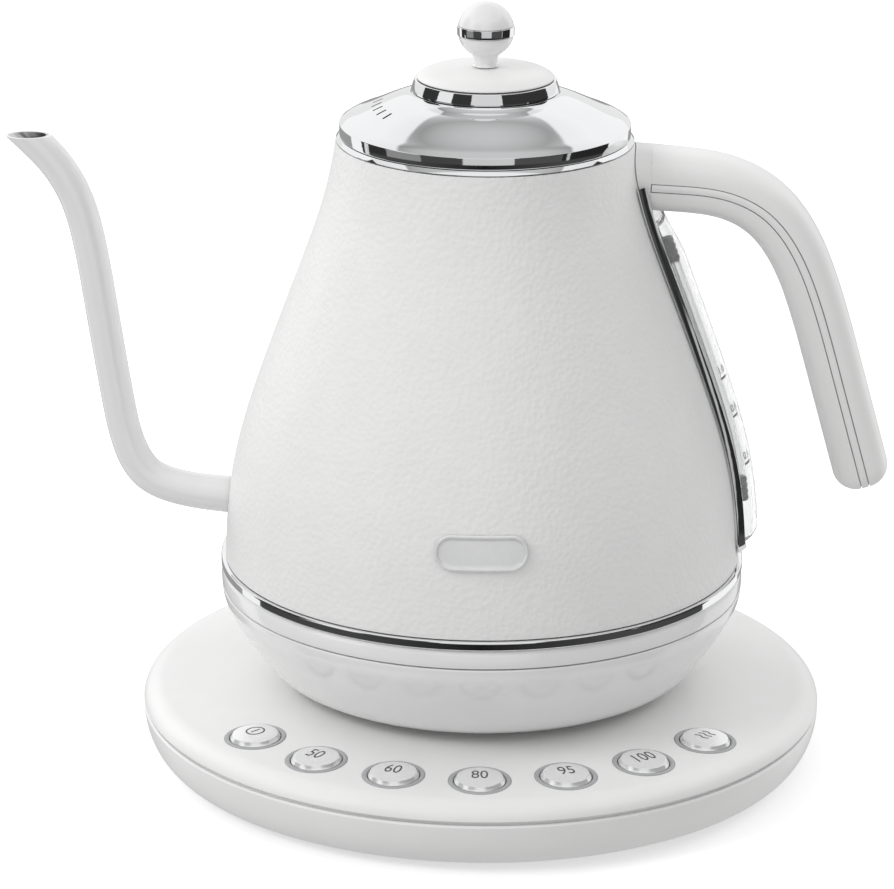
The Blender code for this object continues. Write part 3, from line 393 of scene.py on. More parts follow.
def settle(piece, body, *nodes):
    """Puts a piece on its body and lets it stand for CAD nodes."""
    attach(piece, body)
    del piece["finish"]
    if nodes:
        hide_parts(*nodes)


def moved(place):
    """Matrix of a shift given in millimetres."""
    return Matrix.Translation(Vector(place) * MM)


def rounded(points, radius, steps=4, from_deg=14.0):
    """Rounds the corners of a closed outline; points on the axis stay as they are."""
    count = len(points)
    out = []
    for i, point in enumerate(points):
        here = Vector(point)
        before = Vector(points[i - 1]) - here
        after = Vector(points[(i + 1) % count]) - here
        if abs(here.x) < 1e-6 or before.length < 1e-6 or after.length < 1e-6:
            out.append(tuple(here))
            continue
        turn = math.pi - before.angle(after)
        if turn < math.radians(from_deg):
            out.append(tuple(here))
            continue
        reach = min(radius * math.tan(turn / 2), 0.45 * before.length, 0.45 * after.length)
        start = here + before.normalized() * reach
        end = here + after.normalized() * reach
        for k in range(steps + 1):
            t = k / steps
            out.append(tuple(start * (1 - t) ** 2 + here * 2 * t * (1 - t) + end * t * t))
    return out


def quad(low, high, i, k):
    """Corners between two rings; a ring of one point makes it a triangle."""
    corners = [low[i % len(low)], low[k % len(low)], high[k % len(high)], high[i % len(high)]]
    return list(dict.fromkeys(corners))


def turned_mesh(outline, sides):
    """Spins a closed outline of (radius, height) about Z."""
    mesh_data = bmesh.new()
    rings = []
    for r, z in outline:
        if r < 1e-6:
            rings.append([mesh_data.verts.new((0.0, 0.0, z))])
            continue
        turns = [math.tau * i / sides for i in range(sides)]
        rings.append([mesh_data.verts.new((r * math.cos(a), r * math.sin(a), z)) for a in turns])
    for low, high in zip(rings, rings[1:] + rings[:1]):
        for i in range(sides):
            k = (i + 1) % sides
            corners = quad(low, high, i, k)
            if len(corners) > 2:
                mesh_data.faces.new(corners)
    return mesh_data


def turned(name, outline, finish_name, sides=FINE, edge=0.0, sharp_deg=SHARP_DEG):
    """Turned piece; edge is the radius of its rounded corners."""
    if edge:
        outline = rounded(outline, edge)
    return finish(name, turned_mesh(outline, sides), finish_name, sharp_deg)


def lofted(name, rings, finish_name, closed=False, cap="fan", sharp_deg=SHARP_DEG):
    """Joins rings of points; closed joins the last to the first, otherwise both ends are capped."""
    mesh_data = bmesh.new()
    loops = [[mesh_data.verts.new(point) for point in ring] for ring in rings]
    pairs = list(zip(loops, loops[1:]))
    if closed:
        pairs.append((loops[-1], loops[0]))
    for low, high in pairs:
        for i in range(len(low)):
            k = (i + 1) % len(low)
            mesh_data.faces.new((low[i], low[k], high[k], high[i]))
    for loop in () if closed else (loops[0], loops[-1]):
        count = len(loop)
        if cap == "ladder":
            for i in range(count // 2):
                corners = (loop[i], loop[i + 1], loop[count - i - 1], loop[-i])
                mesh_data.faces.new(list(dict.fromkeys(corners)))
        else:
            middle = mesh_data.verts.new(sum((v.co for v in loop), Vector()) / count)
            for i in range(count):
                mesh_data.faces.new((loop[i], loop[(i + 1) % count], middle))
    return finish(name, mesh_data, finish_name, sharp_deg)


def rod(start, end, radius, sides=64):
    """A round cutting tool from start to end."""
    a = Vector(start)
    b = Vector(end)
    mesh_data = bmesh.new()
    bmesh.ops.create_cone(mesh_data, cap_ends=True, segments=sides, radius1=radius, radius2=radius,
                          depth=(b - a).length)
    turn = Vector((0, 0, 1)).rotation_difference(b - a).to_matrix()
    bmesh.ops.rotate(mesh_data, verts=mesh_data.verts, matrix=turn)
    bmesh.ops.translate(mesh_data, vec=(a + b) / 2, verts=mesh_data.verts)
    return finish("tool", mesh_data, "steel")


def slab(centre, size, turn=None):
    """A cutting tool: a block with softened edges."""
    mesh_data = bmesh.new()
    bmesh.ops.create_cube(mesh_data, size=1.0)
    bmesh.ops.scale(mesh_data, vec=size, verts=mesh_data.verts)
    bmesh.ops.bevel(mesh_data, geom=mesh_data.edges[:], offset=min(size) * 0.12, segments=2,
                    affect="EDGES")
    if turn is not None:
        bmesh.ops.rotate(mesh_data, verts=mesh_data.verts, matrix=turn)
    bmesh.ops.translate(mesh_data, vec=centre, verts=mesh_data.verts)
    return finish("tool", mesh_data, "steel")


def carve(target, tools, sharp_deg=SHARP_DEG):
    """Cuts the tools out of the mesh for good and removes them."""
    for tool in tools:
        modifier = target.modifiers.new(tool.name, "BOOLEAN")
        modifier.operation = "DIFFERENCE"
        modifier.solver = "EXACT"
        modifier.object = tool
    graph = bpy.context.evaluated_depsgraph_get()
    graph.update()
    shape = bpy.data.meshes.new_from_object(target.evaluated_get(graph))
    target.modifiers.clear()
    target.data = shape
    while len(shape.materials) > 1:
        shape.materials.pop()
    shape.polygons.foreach_set("material_index", [0] * len(shape.polygons))
    smooth(shape, sharp_deg)
    for tool in tools:
        bpy.data.objects.remove(tool, do_unlink=True)
    return target


def arc(centre, radii, start_deg, end_deg, steps):
    """Points on an elliptical arc, both ends included."""
    turns = [math.radians(start_deg + (end_deg - start_deg) * i / steps) for i in range(steps + 1)]
    return [(centre[0] + radii[0] * math.cos(a), centre[1] + radii[1] * math.sin(a)) for a in turns]


def polar(radius, degrees, z):
    angle = math.radians(degrees)
    return (radius * math.cos(angle), radius * math.sin(angle), z)


def spline(knots, values, at):
    """Natural cubic curve through the values at the knots, read at the places asked for."""
    knots = np.asarray(knots, float)
    values = np.asarray(values, float)
    count = len(knots)
    step = np.diff(knots)
    system = np.eye(count)
    right = np.zeros(count)
    slope = np.diff(values) / step
    for i in range(1, count - 1):
        system[i, i - 1:i + 2] = (step[i - 1], 2 * (step[i - 1] + step[i]), step[i])
        right[i] = 6 * (slope[i] - slope[i - 1])
    bend = np.linalg.solve(system, right)
    at = np.asarray(at, float)
    i = np.clip(np.searchsorted(knots, at) - 1, 0, count - 2)
    t = at - knots[i]
    first = slope[i] - step[i] * (2 * bend[i] + bend[i + 1]) / 6
    return values[i] + t * (first + t * (bend[i] / 2 + t * (bend[i + 1] - bend[i]) / (6 * step[i])))


def smooth_line(points, count):
    """Evenly spaced points, unit tangents and distances on a smooth curve through points."""
    points = np.asarray(points, float)
    reach = np.concatenate([[0], np.cumsum(np.linalg.norm(np.diff(points, axis=0), axis=1))])
    fine = np.linspace(0, reach[-1], 2000)
    line = np.stack([spline(reach, points[:, 0], fine), spline(reach, points[:, 1], fine)], axis=1)
    length = np.concatenate([[0], np.cumsum(np.linalg.norm(np.diff(line, axis=0), axis=1))])
    even = np.linspace(0, length[-1], count)
    places = np.stack([np.interp(even, length, line[:, k]) for k in (0, 1)], axis=1)
    tangents = np.gradient(line, axis=0)
    tangents /= np.linalg.norm(tangents, axis=1)[:, None]
    ways = np.stack([np.interp(even, length, tangents[:, k]) for k in (0, 1)], axis=1)
    return places, ways / np.linalg.norm(ways, axis=1)[:, None], even


def flowing(points, count):
    """A smooth outline through a few outline points."""
    return [tuple(point) for point in smooth_line(points, count)[0]]


def body_radius(z):
    heights = [point[0] for point in BODY_PROFILE]
    return float(spline(heights, [point[1] for point in BODY_PROFILE], z))


def on_body(azimuth_deg, across, z, rise):
    """A point that is 'across' to the side of an azimuth and 'rise' outward from the body."""
    slope = body_radius(z + 0.5) - body_radius(z - 0.5)
    scale = 1.0 / math.hypot(1.0, slope)
    radius = body_radius(z) + rise * scale
    angle = math.radians(azimuth_deg) + across / radius
    return (radius * math.cos(angle), radius * math.sin(angle), z - rise * slope * scale)


def body_outline(inset, low, high, steps):
    heights = [low + (high - low) * i / steps for i in range(steps + 1)]
    return [(body_radius(z) - inset, z) for z in heights]


def dome_z(radius):
    return BASE_CROWN_Z - BASE_DOME * radius * radius


# ---------------------------------------------------------------- base

def button_angles():
    middle = (BUTTON_COUNT - 1) / 2
    return [-90.0 + (i - middle) * BUTTON_STEP_DEG for i in range(BUTTON_COUNT)]


def button_frame(degrees):
    """World matrix of a button: on the dome, Z along the dome's outward normal."""
    tilt = math.atan(2 * BASE_DOME * BUTTON_PITCH_R)
    turn = Matrix.Rotation(math.radians(degrees), 4, "Z") @ Matrix.Rotation(tilt, 4, "Y")
    return moved(polar(BUTTON_PITCH_R, degrees, dome_z(BUTTON_PITCH_R))) @ turn


def make_base_top():
    hole_r = PLUG_R + 1.0
    edge_z = dome_z(BASE_EDGE_R)
    rim_z = BASE_SEAM_Z + GROOVE
    roll = arc((BASE_EDGE_R, rim_z), (BASE_R - BASE_EDGE_R, edge_z - rim_z), 90, 0, 24)
    roll = roll[:-2] + [(BASE_R, rim_z + 0.5), (BASE_R - 0.55, rim_z)]
    seat = arc((SEAT_R, dome_z(SEAT_R)), (3.6, SEAT_Z - dome_z(SEAT_R)), 180, 0, 12)
    dome = [(r, dome_z(r)) for r in (20, 26, 32, 38, 44)]
    skirt = [(r, dome_z(r)) for r in np.arange(60.0, BASE_EDGE_R - 1.0, 3.0)]
    inner = [(BASE_R - BASE_WALL, rim_z)]
    inner += [(r, dome_z(r) - BASE_WALL) for r in (BASE_EDGE_R, 60.0, hole_r)]
    lip = [(hole_r, dome_z(hole_r) - 0.4), (hole_r + 0.4, dome_z(hole_r))]
    cover = turned("base_shell_top", [*lip, *dome, *seat, *skirt, *roll, *inner], "white_satin")
    tools = []
    for degrees in button_angles():
        tool = rod((0, 0, -6.0), (0, 0, 6.0), RING_R + 0.12, MEDIUM)
        tool.matrix_world = button_frame(degrees)
        tools.append(tool)
    settle(carve(cover, tools), "base", "base_top_cover")


def make_base_bottom():
    middle = BASE_FOOT_R - 3.0
    radii = (BASE_R - middle, BASE_SEAM_Z)
    side = [(BASE_R - 0.55, BASE_SEAM_Z), *arc((middle, BASE_SEAM_Z), radii, -2, -66, 24)]
    under = [(BASE_FOOT_R - 1.5, 0.0)]
    for groove_r in (97.0, 46.0, 30.0):
        under += [(groove_r + 1.6, 0.0), (groove_r + 1.2, 0.7), (groove_r - 1.2, 0.7),
                  (groove_r - 1.6, 0.0)]
    inner = [(0.0, BASE_WALL), (BASE_FOOT_R - 2.5, BASE_WALL)]
    inner += arc((middle, BASE_SEAM_Z), (radii[0] - BASE_WALL, radii[1] - BASE_WALL), -62, 0, 12)
    lip_z = BASE_SEAM_Z + GROOVE - 0.12
    lip = [(BASE_R - BASE_WALL, BASE_SEAM_Z), (BASE_R - BASE_WALL, lip_z), (BASE_R - 1.7, lip_z),
           (BASE_R - 1.7, BASE_SEAM_Z)]
    outline = [*side, *under, (0.0, 0.0), *inner[:-1], *lip]
    cover = turned("base_shell_bottom", outline, "white_satin")
    tools = [rod((0, 95.0, GLAND_Z), (0, 120.0, GLAND_Z), 5.1)]
    for turns, pitch_r, depth, hole_r in ((FOOT_DEG, FOOT_PITCH_R, 1.0, 6.8),
                                          (SCREW_DEG, SCREW_PITCH_R, 1.4, 3.3)):
        for degrees in turns:
            tools.append(rod(polar(pitch_r, degrees, -1.0), polar(pitch_r, degrees, depth), hole_r))
    for row in range(5):
        for side_x in (-14.0, 14.0):
            tools.append(slab((side_x, -9.0 + row * 4.5, 1.0), (16.0, 1.6, 6.0)))
    settle(carve(cover, tools), "base", "base_bottom_cover")


def make_base_fittings():
    for number, degrees in enumerate(FOOT_DEG, 1):
        foot = [(0, 0.7), (FOOT_R, 0.7), (FOOT_R, -0.9), (FOOT_R - 0.6, -FOOT_DROP), (4.4, -FOOT_DROP),
                (4.1, -1.1), (2.6, -1.1), (2.3, -FOOT_DROP), (0, -FOOT_DROP)]
        piece = turned(f"foot_{number}", foot, "black_rubber", MEDIUM, 0.3)
        piece.matrix_world = moved(polar(FOOT_PITCH_R, degrees, 0))
        settle(piece, "base", f"base_foot_{number}")
    for number, degrees in enumerate(SCREW_DEG, 1):
        head = [(0, 0.2), (2.5, 0.2), (3.0, 0.5), (3.0, 1.1), (1.4, 1.1), (1.4, 12.0), (0, 13.5)]
        piece = turned(f"screw_{number}", head, "steel", 48, 0.1)
        carve(piece, [slab((0, 0, 0.1), size) for size in ((3.6, 0.7, 1.0), (0.7, 3.6, 1.0))])
        piece.matrix_world = moved(polar(SCREW_PITCH_R, degrees, 0))
        settle(piece, "base", f"base_screw_{number}")

    gland = [(0, 0), (4.8, 0), (4.8, 7.6), (5.4, 7.8), (5.4, 8.6), (4.7, 10.0), (3.2, 10.0),
             (3.2, 2.0), (0, 2.0)]
    piece = turned("cord_bushing", gland, "black_rubber", MEDIUM, 0.3)
    piece.matrix_world = moved((0, BASE_R - 8.5, GLAND_Z)) @ Matrix.Rotation(-math.pi / 2, 4, "X")
    settle(piece, "base", "cord_gland")


def make_connector():
    flange_z = dome_z(20.0) - BASE_WALL - GAP
    plug = [(PLUG_R, 16.0), (PLUG_R + 6.0, 17.0), (PLUG_R + 6.0, flange_z), (PLUG_R, flange_z),
            (PLUG_R, PLUG_Z - 1.0), (PLUG_R - 1.0, PLUG_Z), (9.0, PLUG_Z), (9.0, PLUG_Z - 6.0),
            (7.0, PLUG_Z - 6.0), (7.0, PLUG_Z), (PIN_R + GAP, PLUG_Z), (PIN_R + GAP, 19.0),
            (0, 19.0), (0, 16.0)]
    settle(turned("plug_tower", plug, "black_plastic", MEDIUM, 0.5), "base", "base_connector")
    contact = [(7.1, PLUG_Z - 5.9), (8.9, PLUG_Z - 5.9), (8.9, PLUG_Z - 3.0), (8.4, PLUG_Z - 2.6),
               (7.6, PLUG_Z - 2.6), (7.1, PLUG_Z - 3.0)]
    settle(turned("plug_contact_ring", contact, "brass", MEDIUM, 0.15), "base")
    pin = [(0, 19.4), (PIN_R, 19.4), (PIN_R, PIN_Z - 1.4), (PIN_R - 0.5, PIN_Z - 0.5),
           (PIN_R - 1.2, PIN_Z), (0, PIN_Z)]
    settle(turned("plug_pin", pin, "brass", 64, 0.3), "centre_pin", "base_centre_pin")


# ---------------------------------------------------------------- buttons

def cap_z(radius):
    """Height of the cap's crowned face above the dome, in the button's own frame."""
    share = min(1.0, radius / BUTTON_FACE_R)
    return BUTTON_RISE + BUTTON_CROWN * (1.0 - share * share)


def inked(name, pieces_data):
    """Flat artwork laid on the crowned cap: outlines become thin solids that follow its face."""
    mesh_data = bmesh.new()
    for piece in pieces_data:
        mesh_data.from_mesh(piece)
    bmesh.ops.subdivide_edges(mesh_data, edges=mesh_data.edges[:], cuts=1, use_grid_fill=True)
    bmesh.ops.triangulate(mesh_data, faces=mesh_data.faces[:])
    grown = bmesh.ops.extrude_face_region(mesh_data, geom=mesh_data.faces[:])
    for vert in (item for item in grown["geom"] if isinstance(item, bmesh.types.BMVert)):
        vert.co.z = 1.0
    for vert in mesh_data.verts:
        lift = 0.035 if vert.co.z > 0.5 else -0.02
        vert.co.z = cap_z(math.hypot(vert.co.x, vert.co.y)) + lift
    return finish(name, mesh_data, "ink")


def text_mesh(words, size):
    """Mesh of a short text, centred, facing +Z and readable from -Y."""
    curve = bpy.data.curves.new("words", "FONT")
    curve.body = words
    curve.size = size
    curve.align_x = "CENTER"
    curve.align_y = "CENTER"
    curve.resolution_u = 6
    holder = linked("words", curve)
    graph = bpy.context.evaluated_depsgraph_get()
    mesh = bpy.data.meshes.new_from_object(holder.evaluated_get(graph))
    bpy.data.objects.remove(holder, do_unlink=True)
    points = np.array([v.co[:] for v in mesh.vertices])
    mesh.transform(Matrix.Translation(-Vector((points.min(0) + points.max(0)) / 2)))
    return mesh


def ribbon_mesh(line, half):
    """Flat ribbon along a line of (x, y) points."""
    line = np.asarray(line, float)
    ways = np.gradient(line, axis=0)
    ways /= np.linalg.norm(ways, axis=1)[:, None]
    sides = np.stack([-ways[:, 1], ways[:, 0]], axis=1) * half
    mesh_data = bmesh.new()
    left = [mesh_data.verts.new((x, y, 0)) for x, y in line + sides]
    right = [mesh_data.verts.new((x, y, 0)) for x, y in line - sides]
    for i in range(len(line) - 1):
        mesh_data.faces.new((right[i], right[i + 1], left[i + 1], left[i]))
    return mesh_from("ribbon", mesh_data)


def button_artwork(number, degrees):
    """Power ring, five temperatures, keep-warm waves."""
    angle = math.radians(degrees)
    aside = LABEL_BACK * math.cos(angle)
    back = -LABEL_BACK * math.sin(angle)
    if number == 1:
        turns = np.linspace(0, math.tau, 49)
        ring = [(aside + 2.7 * math.cos(a), back + 3.0 * math.sin(a)) for a in turns]
        stroke = [(aside, back + 1.7 * t) for t in np.linspace(-1, 1, 5)]
        return [ribbon_mesh(ring, STROKE_HALF), ribbon_mesh(stroke, STROKE_HALF)]
    if number == BUTTON_COUNT:
        along = np.linspace(-2.5, 2.5, 25)
        waves = [[(aside + offset + 0.3 * math.sin(t * 1.9), back + t) for t in along]
                 for offset in (-2.0, 0.0, 2.0)]
        return [ribbon_mesh(wave, WAVE_HALF) for wave in waves]
    words = text_mesh(("50", "60", "80", "95", "100")[number - 2], LABEL_SIZE)
    stretch = Matrix.Diagonal((1.0, LABEL_STRETCH, 1.0, 1.0))
    words.transform(Matrix.Translation((aside, back, 0.0)) @ stretch)
    return [words]


def make_buttons():
    crown = [(r, cap_z(r)) for r in np.linspace(0, BUTTON_FACE_R, 12)]
    chamfer = [(BUTTON_R - 0.78, BUTTON_RISE - 0.06), (BUTTON_R - 0.74, BUTTON_RISE - 0.22),
               (BUTTON_R, 0.05)]
    stem = [(BUTTON_R, -1.6), (2.2, -1.6), (2.2, -5.3), (0, -5.3)]
    inner = BUTTON_R + GAP
    ring = [(inner, -2.0), (RING_R, -2.0), (RING_R, 0.05), (RING_R - 0.35, 0.25),
            (inner + 0.3, 0.2), (inner, 0.0)]
    cap_outline = crown + chamfer + stem
    for number, degrees in enumerate(button_angles(), 1):
        light = turned(f"light_ring_{number}", ring, "grey_ring", MEDIUM, 0.15)
        light.matrix_world = button_frame(degrees)
        settle(light, "base", f"button_light_ring_{number}")
        cap = turned(f"button_{number}_cap", cap_outline, "silver_button", MEDIUM, sharp_deg=24.0)
        cap.matrix_world = button_frame(degrees)
        settle(cap, f"button_{number}", f"button_cap_{number}")
        label = inked(f"button_{number}_print", button_artwork(number, degrees))
        label.matrix_world = button_frame(degrees) @ Matrix.Rotation(math.pi / 2, 4, "Z")
        settle(label, f"button_{number}")


# ---------------------------------------------------------------- kettle

def make_body():
    low = BODY_PROFILE[0][0]
    high = BODY_PROFILE[-1][0]
    outer = body_outline(0, low, high, 72)
    inner = [(r - BODY_WALL, z) for r, z in reversed(body_outline(0, low, high, 12))]
    shell = turned("body_skin", outer + inner, "white_body")
    spout_hole = rod((-60, 0, 84.3), (-95, 0, 86.7), SPOUT_ROOT_R + 0.45)
    settle(carve(shell, [spout_hole]), "kettle", "body_shell")


def make_vessel():
    side = body_outline(VESSEL_INSET, 71.0, VESSEL_NECK_Z, 40)
    neck_r = side[-1][0]
    floor_z = VESSEL_FLOOR_Z + VESSEL_WALL
    outer = [(0, VESSEL_FLOOR_Z), (72.0, VESSEL_FLOOR_Z), (78.5, 65.0), *side, (neck_r, 206.5)]
    inner = [(neck_r - VESSEL_WALL, 206.5)] + [(r - VESSEL_WALL, z) for r, z in reversed(side)]
    inner += [(77.5, 66.0), (71.5, floor_z), (44.0, floor_z), (42.0, floor_z + 0.8),
              (38.0, floor_z + 0.8), (36.0, floor_z), (0, floor_z)]
    settle(turned("water_vessel", outer + inner, "steel", FINE, 0.4), "kettle", "vessel")


def vessel_neck_r():
    return body_radius(VESSEL_NECK_Z) - VESSEL_INSET - VESSEL_WALL


def make_rings():
    inner = vessel_neck_r()
    low, high = NECK_RING_Z
    neck = [(inner, low), (47.97, low), (47.95, low + 0.2), (46.95, high + 0.2),
            (inner, high + 0.2)]
    settle(turned("neck_bead", neck, "chrome", FINE, 0.1), "kettle", "neck_ring")
    settle(turned("waist_band", BAND_PROFILE, "chrome", FINE), "kettle", "chrome_band")
    low, high = SKIRT_RING_Z
    ring = [(83.6, low), (86.0, low), (86.1, low + 2.0), (85.85, low + 4.4), (85.0, high),
            (83.6, high)]
    settle(turned("skirt_collar", ring, "white_gloss", FINE, 0.6), "kettle", "skirt_ring")
    face = flowing(SKIRT_PROFILE, 40)
    inside = [(r - SKIRT_WALL, z + 0.7) for r, z in SKIRT_PROFILE[1:-1]]
    top_r, top_z = SKIRT_PROFILE[0]
    bowl = [*face, (BOWL_HOLE_R, 29.8), *reversed(inside), (top_r - SKIRT_WALL, top_z)]
    settle(turned("skirt_shell", bowl, "white_gloss", FINE, 0.5), "kettle", "skirt_bowl")


def make_underside():
    hole = SOCKET_R + GAP
    rim = BOWL_HOLE_R - GAP - 0.1
    foot_z = SEAT_Z + GAP
    low = UNDERSIDE_Z
    cover = [(hole, low)]
    for groove_r in (24.0, 36.0):
        cover += [(groove_r, low), (groove_r + 0.4, low + 0.7), (groove_r + 2.0, low + 0.7),
                  (groove_r + 2.4, low)]
    cover += [(SEAT_R - 3, low), (SEAT_R - 2, foot_z), (SEAT_R + 2, foot_z), (SEAT_R + 3, low),
              (rim, low), (rim, low + 2.0), (hole, low + 2.0)]
    settle(turned("kettle_underside", cover, "white_satin", FINE, 0.25), "kettle", "bottom_cover")
    bore = PLUG_R + 0.8
    roof = PLUG_Z + 1.5
    socket = [(0, SOCKET_Z), (0, PIN_Z + 1.0), (PIN_R + 0.6, PIN_Z + 1.0), (PIN_R + 0.6, roof),
              (7.4, roof), (7.4, PLUG_Z - 5.0), (8.6, PLUG_Z - 5.0), (8.6, roof), (bore, roof),
              (bore, low), (SOCKET_R, low), (SOCKET_R, SOCKET_Z)]
    settle(turned("socket_cup", socket, "black_plastic", MEDIUM, 0.3), "kettle", "kettle_connector")


def circle_ring(place, way, radius, sides):
    """Ring of points around a place in the XZ plane, square to the way."""
    ring = []
    for side in range(sides):
        turn = math.tau * side / sides
        lift = radius * math.cos(turn)
        ring.append((place[0] - way[1] * lift, radius * math.sin(turn), place[1] + way[0] * lift))
    return ring


def level_cut(piece):
    """Trims the tip of the spout level at the mouth."""
    return carve(piece, [slab((SPOUT_LINE[-1][0], 0.0, SPOUT_MOUTH_Z + 15.0), (70.0, 60.0, 30.0))])


def make_spout():
    count = 150
    places, ways, _ = smooth_line(SPOUT_LINE, count)
    beyond = [places[-1] + ways[-1] * reach for reach in (1.5, 3.0, 4.5, 6.0, 7.5)]
    places = np.concatenate([places, beyond])
    ways = np.concatenate([ways, [ways[-1]] * len(beyond)])
    radii = np.interp(np.arange(len(places)) / count, [0.0, 0.32, 1.0],
                      [SPOUT_ROOT_R, SPOUT_TIP_R, SPOUT_TIP_R])

    def tube(first, inset):
        stations = list(zip(places, ways, radii))[first:]
        return [circle_ring(place, way, radius - inset, 56) for place, way, radius in stations]

    skin = lofted("spout_skin", tube(0, 0.0) + tube(0, SPOUT_WALL - 0.35)[::-1], "white_gloss",
                  closed=True)
    settle(level_cut(skin), "kettle", "spout_tube")
    tail = count - 34
    liner = tube(tail, SPOUT_WALL - 0.33) + tube(tail, SPOUT_WALL + 0.15)[::-1]
    settle(level_cut(lofted("spout_liner", liner, "steel", closed=True)), "kettle")


# ---------------------------------------------------------------- handle

def half_thickness(share, side):
    """Distance from the seam to the outside of a shell, thinning over the first half of the handle."""
    middle = HANDLE_ROOT_HALF + (HANDLE_END_HALF - HANDLE_ROOT_HALF) * min(1.0, share * 2.0)
    return middle + side * SEAM_DROP * max(0.0, 1.0 - share / SEAM_LEVEL_SHARE)


def nose_scale(left):
    """Shrinks the section towards the rounded free end."""
    if left >= HANDLE_NOSE:
        return 1.0
    return 0.3 + 0.7 * math.sqrt(max(0.0, 1.0 - (1.0 - left / HANDLE_NOSE) ** 2))


def handle_width(scale):
    """Half width of the section; the free end narrows less than it thins."""
    return HANDLE_HALF_WIDTH * (0.4 + 0.6 * scale)


def shell_section(side, half, scale, grooved):
    """Half section of the handle as (across, out) points; side is +1 outside, -1 inside."""
    width = handle_width(scale)
    half = half * scale
    ledge = width - STRIP_DEPTH - GAP
    rest = STRIP_HALF + GAP if grooved else SHELL_SEAM
    close = GAP / 2 if grooved else SHELL_SEAM
    steps = 44
    section = []
    for i in range(steps + 1):
        turn = math.pi * i / steps
        out = rest + (half - rest) * abs(math.sin(turn)) ** HANDLE_SQUARE
        across = math.copysign(abs(math.cos(turn)) ** HANDLE_SQUARE, math.cos(turn)) * width
        section.append((across, out))
    section += [(-ledge, rest * 1.001), (-ledge, close), (ledge, close), (ledge, rest * 1.001)]
    return [(across, side * out) for across, out in section]


def handle_stations():
    """Places, ways and distances along the handle, and where the side strips start."""
    places, ways, reach = smooth_line(HANDLE_LINE, 900)
    start = float(np.interp(STRIP_START_X, places[:400, 0], reach[:400]))
    grip = [start + 0.03, *np.linspace(start + GAP + 0.03, reach[-1] - HANDLE_NOSE, 84)]
    body = np.concatenate([np.linspace(0, start, 7), grip])
    nose = reach[-1] - HANDLE_NOSE * (1 - np.sin(np.linspace(0, math.pi / 2, 15)[1:]))
    stops = np.concatenate([body, nose])
    points = np.stack([np.interp(stops, reach, places[:, k]) for k in (0, 1)], axis=1)
    heads = np.stack([np.interp(stops, reach, ways[:, k]) for k in (0, 1)], axis=1)
    return points, heads, stops, start + 0.01


def place_section(section, place, way):
    """Maps (across, out) to the plane square to the way; out is the outer side of the bend."""
    return [(place[0] - way[1] * out, across, place[1] + way[0] * out) for across, out in section]


def body_clearance():
    """Solid of the body, a gap larger, that trims what is fitted against it."""
    side = body_outline(-GAP, 150.0, BODY_PROFILE[-1][0], 40)
    outline = [(0, 150.0), *side, (side[-1][0], 212.0), (0, 212.0)]
    return turned("tool", outline, "steel", FINE)


def make_handle():
    points, heads, stops, start = handle_stations()
    end = stops[-1]
    stations = [(place, way, stop, nose_scale(end - stop))
                for place, way, stop in zip(points, heads, stops)]
    for name, node, side in (("grip_outer", "handle_outer_shell", 1),
                             ("grip_inner", "handle_inner_shell", -1)):
        rings = []
        for place, way, stop, scale in stations:
            section = shell_section(side, half_thickness(stop / end, side), scale, stop > start)
            rings.append(place_section(section, place, way))
        shell = lofted(name, rings, "white_satin")
        settle(carve(shell, [body_clearance()], sharp_deg=30.0), "kettle", node)
    for name, side in (("front", -1), ("back", 1)):
        rings = []
        for place, way, stop, scale in stations:
            if stop < start + GAP:
                continue
            width = handle_width(scale)
            low = (width - STRIP_DEPTH) * side
            high = (width - 0.1) * side
            section = [(low, -STRIP_HALF), (high, -STRIP_HALF), (high + side * 0.15, -STRIP_HALF * 0.8),
                       (high + side * 0.22, 0.0), (high + side * 0.15, STRIP_HALF * 0.8),
                       (high, STRIP_HALF), (low, STRIP_HALF)]
            rings.append(place_section(section, place, way))
        settle(lofted(f"grip_strip_{name}", rings, "white_satin"), "kettle", f"handle_strip_{name}")


# ---------------------------------------------------------------- gauge and emblem

def quarter_round(share):
    """Height of a quarter circle, from 0 at its foot to 1 at a share of 1."""
    return math.sqrt(1.0 - (1.0 - min(1.0, share)) ** 2)


def window_rise(z):
    """How far the window stands off the body: round at its foot, sloping to a blunt top."""
    foot = quarter_round(max(0.0, z - GAUGE_Z[0]) / GAUGE_FOOT)
    crown = 0.5 + 0.5 * min(1.0, max(0.0, GAUGE_Z[1] - z) / GAUGE_CROWN)
    return GAUGE_TOP_RISE + (GAUGE_RISE - GAUGE_TOP_RISE) * min(foot, crown)


def window_half(z):
    """Half width of the window, rounded off at its foot."""
    corner = quarter_round(max(0.0, z - GAUGE_Z[0]) / FRAME_CORNER)
    return GAUGE_HALF - FRAME_CORNER * (1.0 - corner)


def window_point(turn, z, lift=0.0):
    """A point on the window's outside; turn runs from 0 on one flank to pi on the other."""
    rise = (window_rise(z) - GAUGE_LIFT) * math.sin(turn) ** WINDOW_SQUARE
    return on_body(0.0, math.cos(turn) * (window_half(z) + lift), z, GAUGE_LIFT + rise + lift)


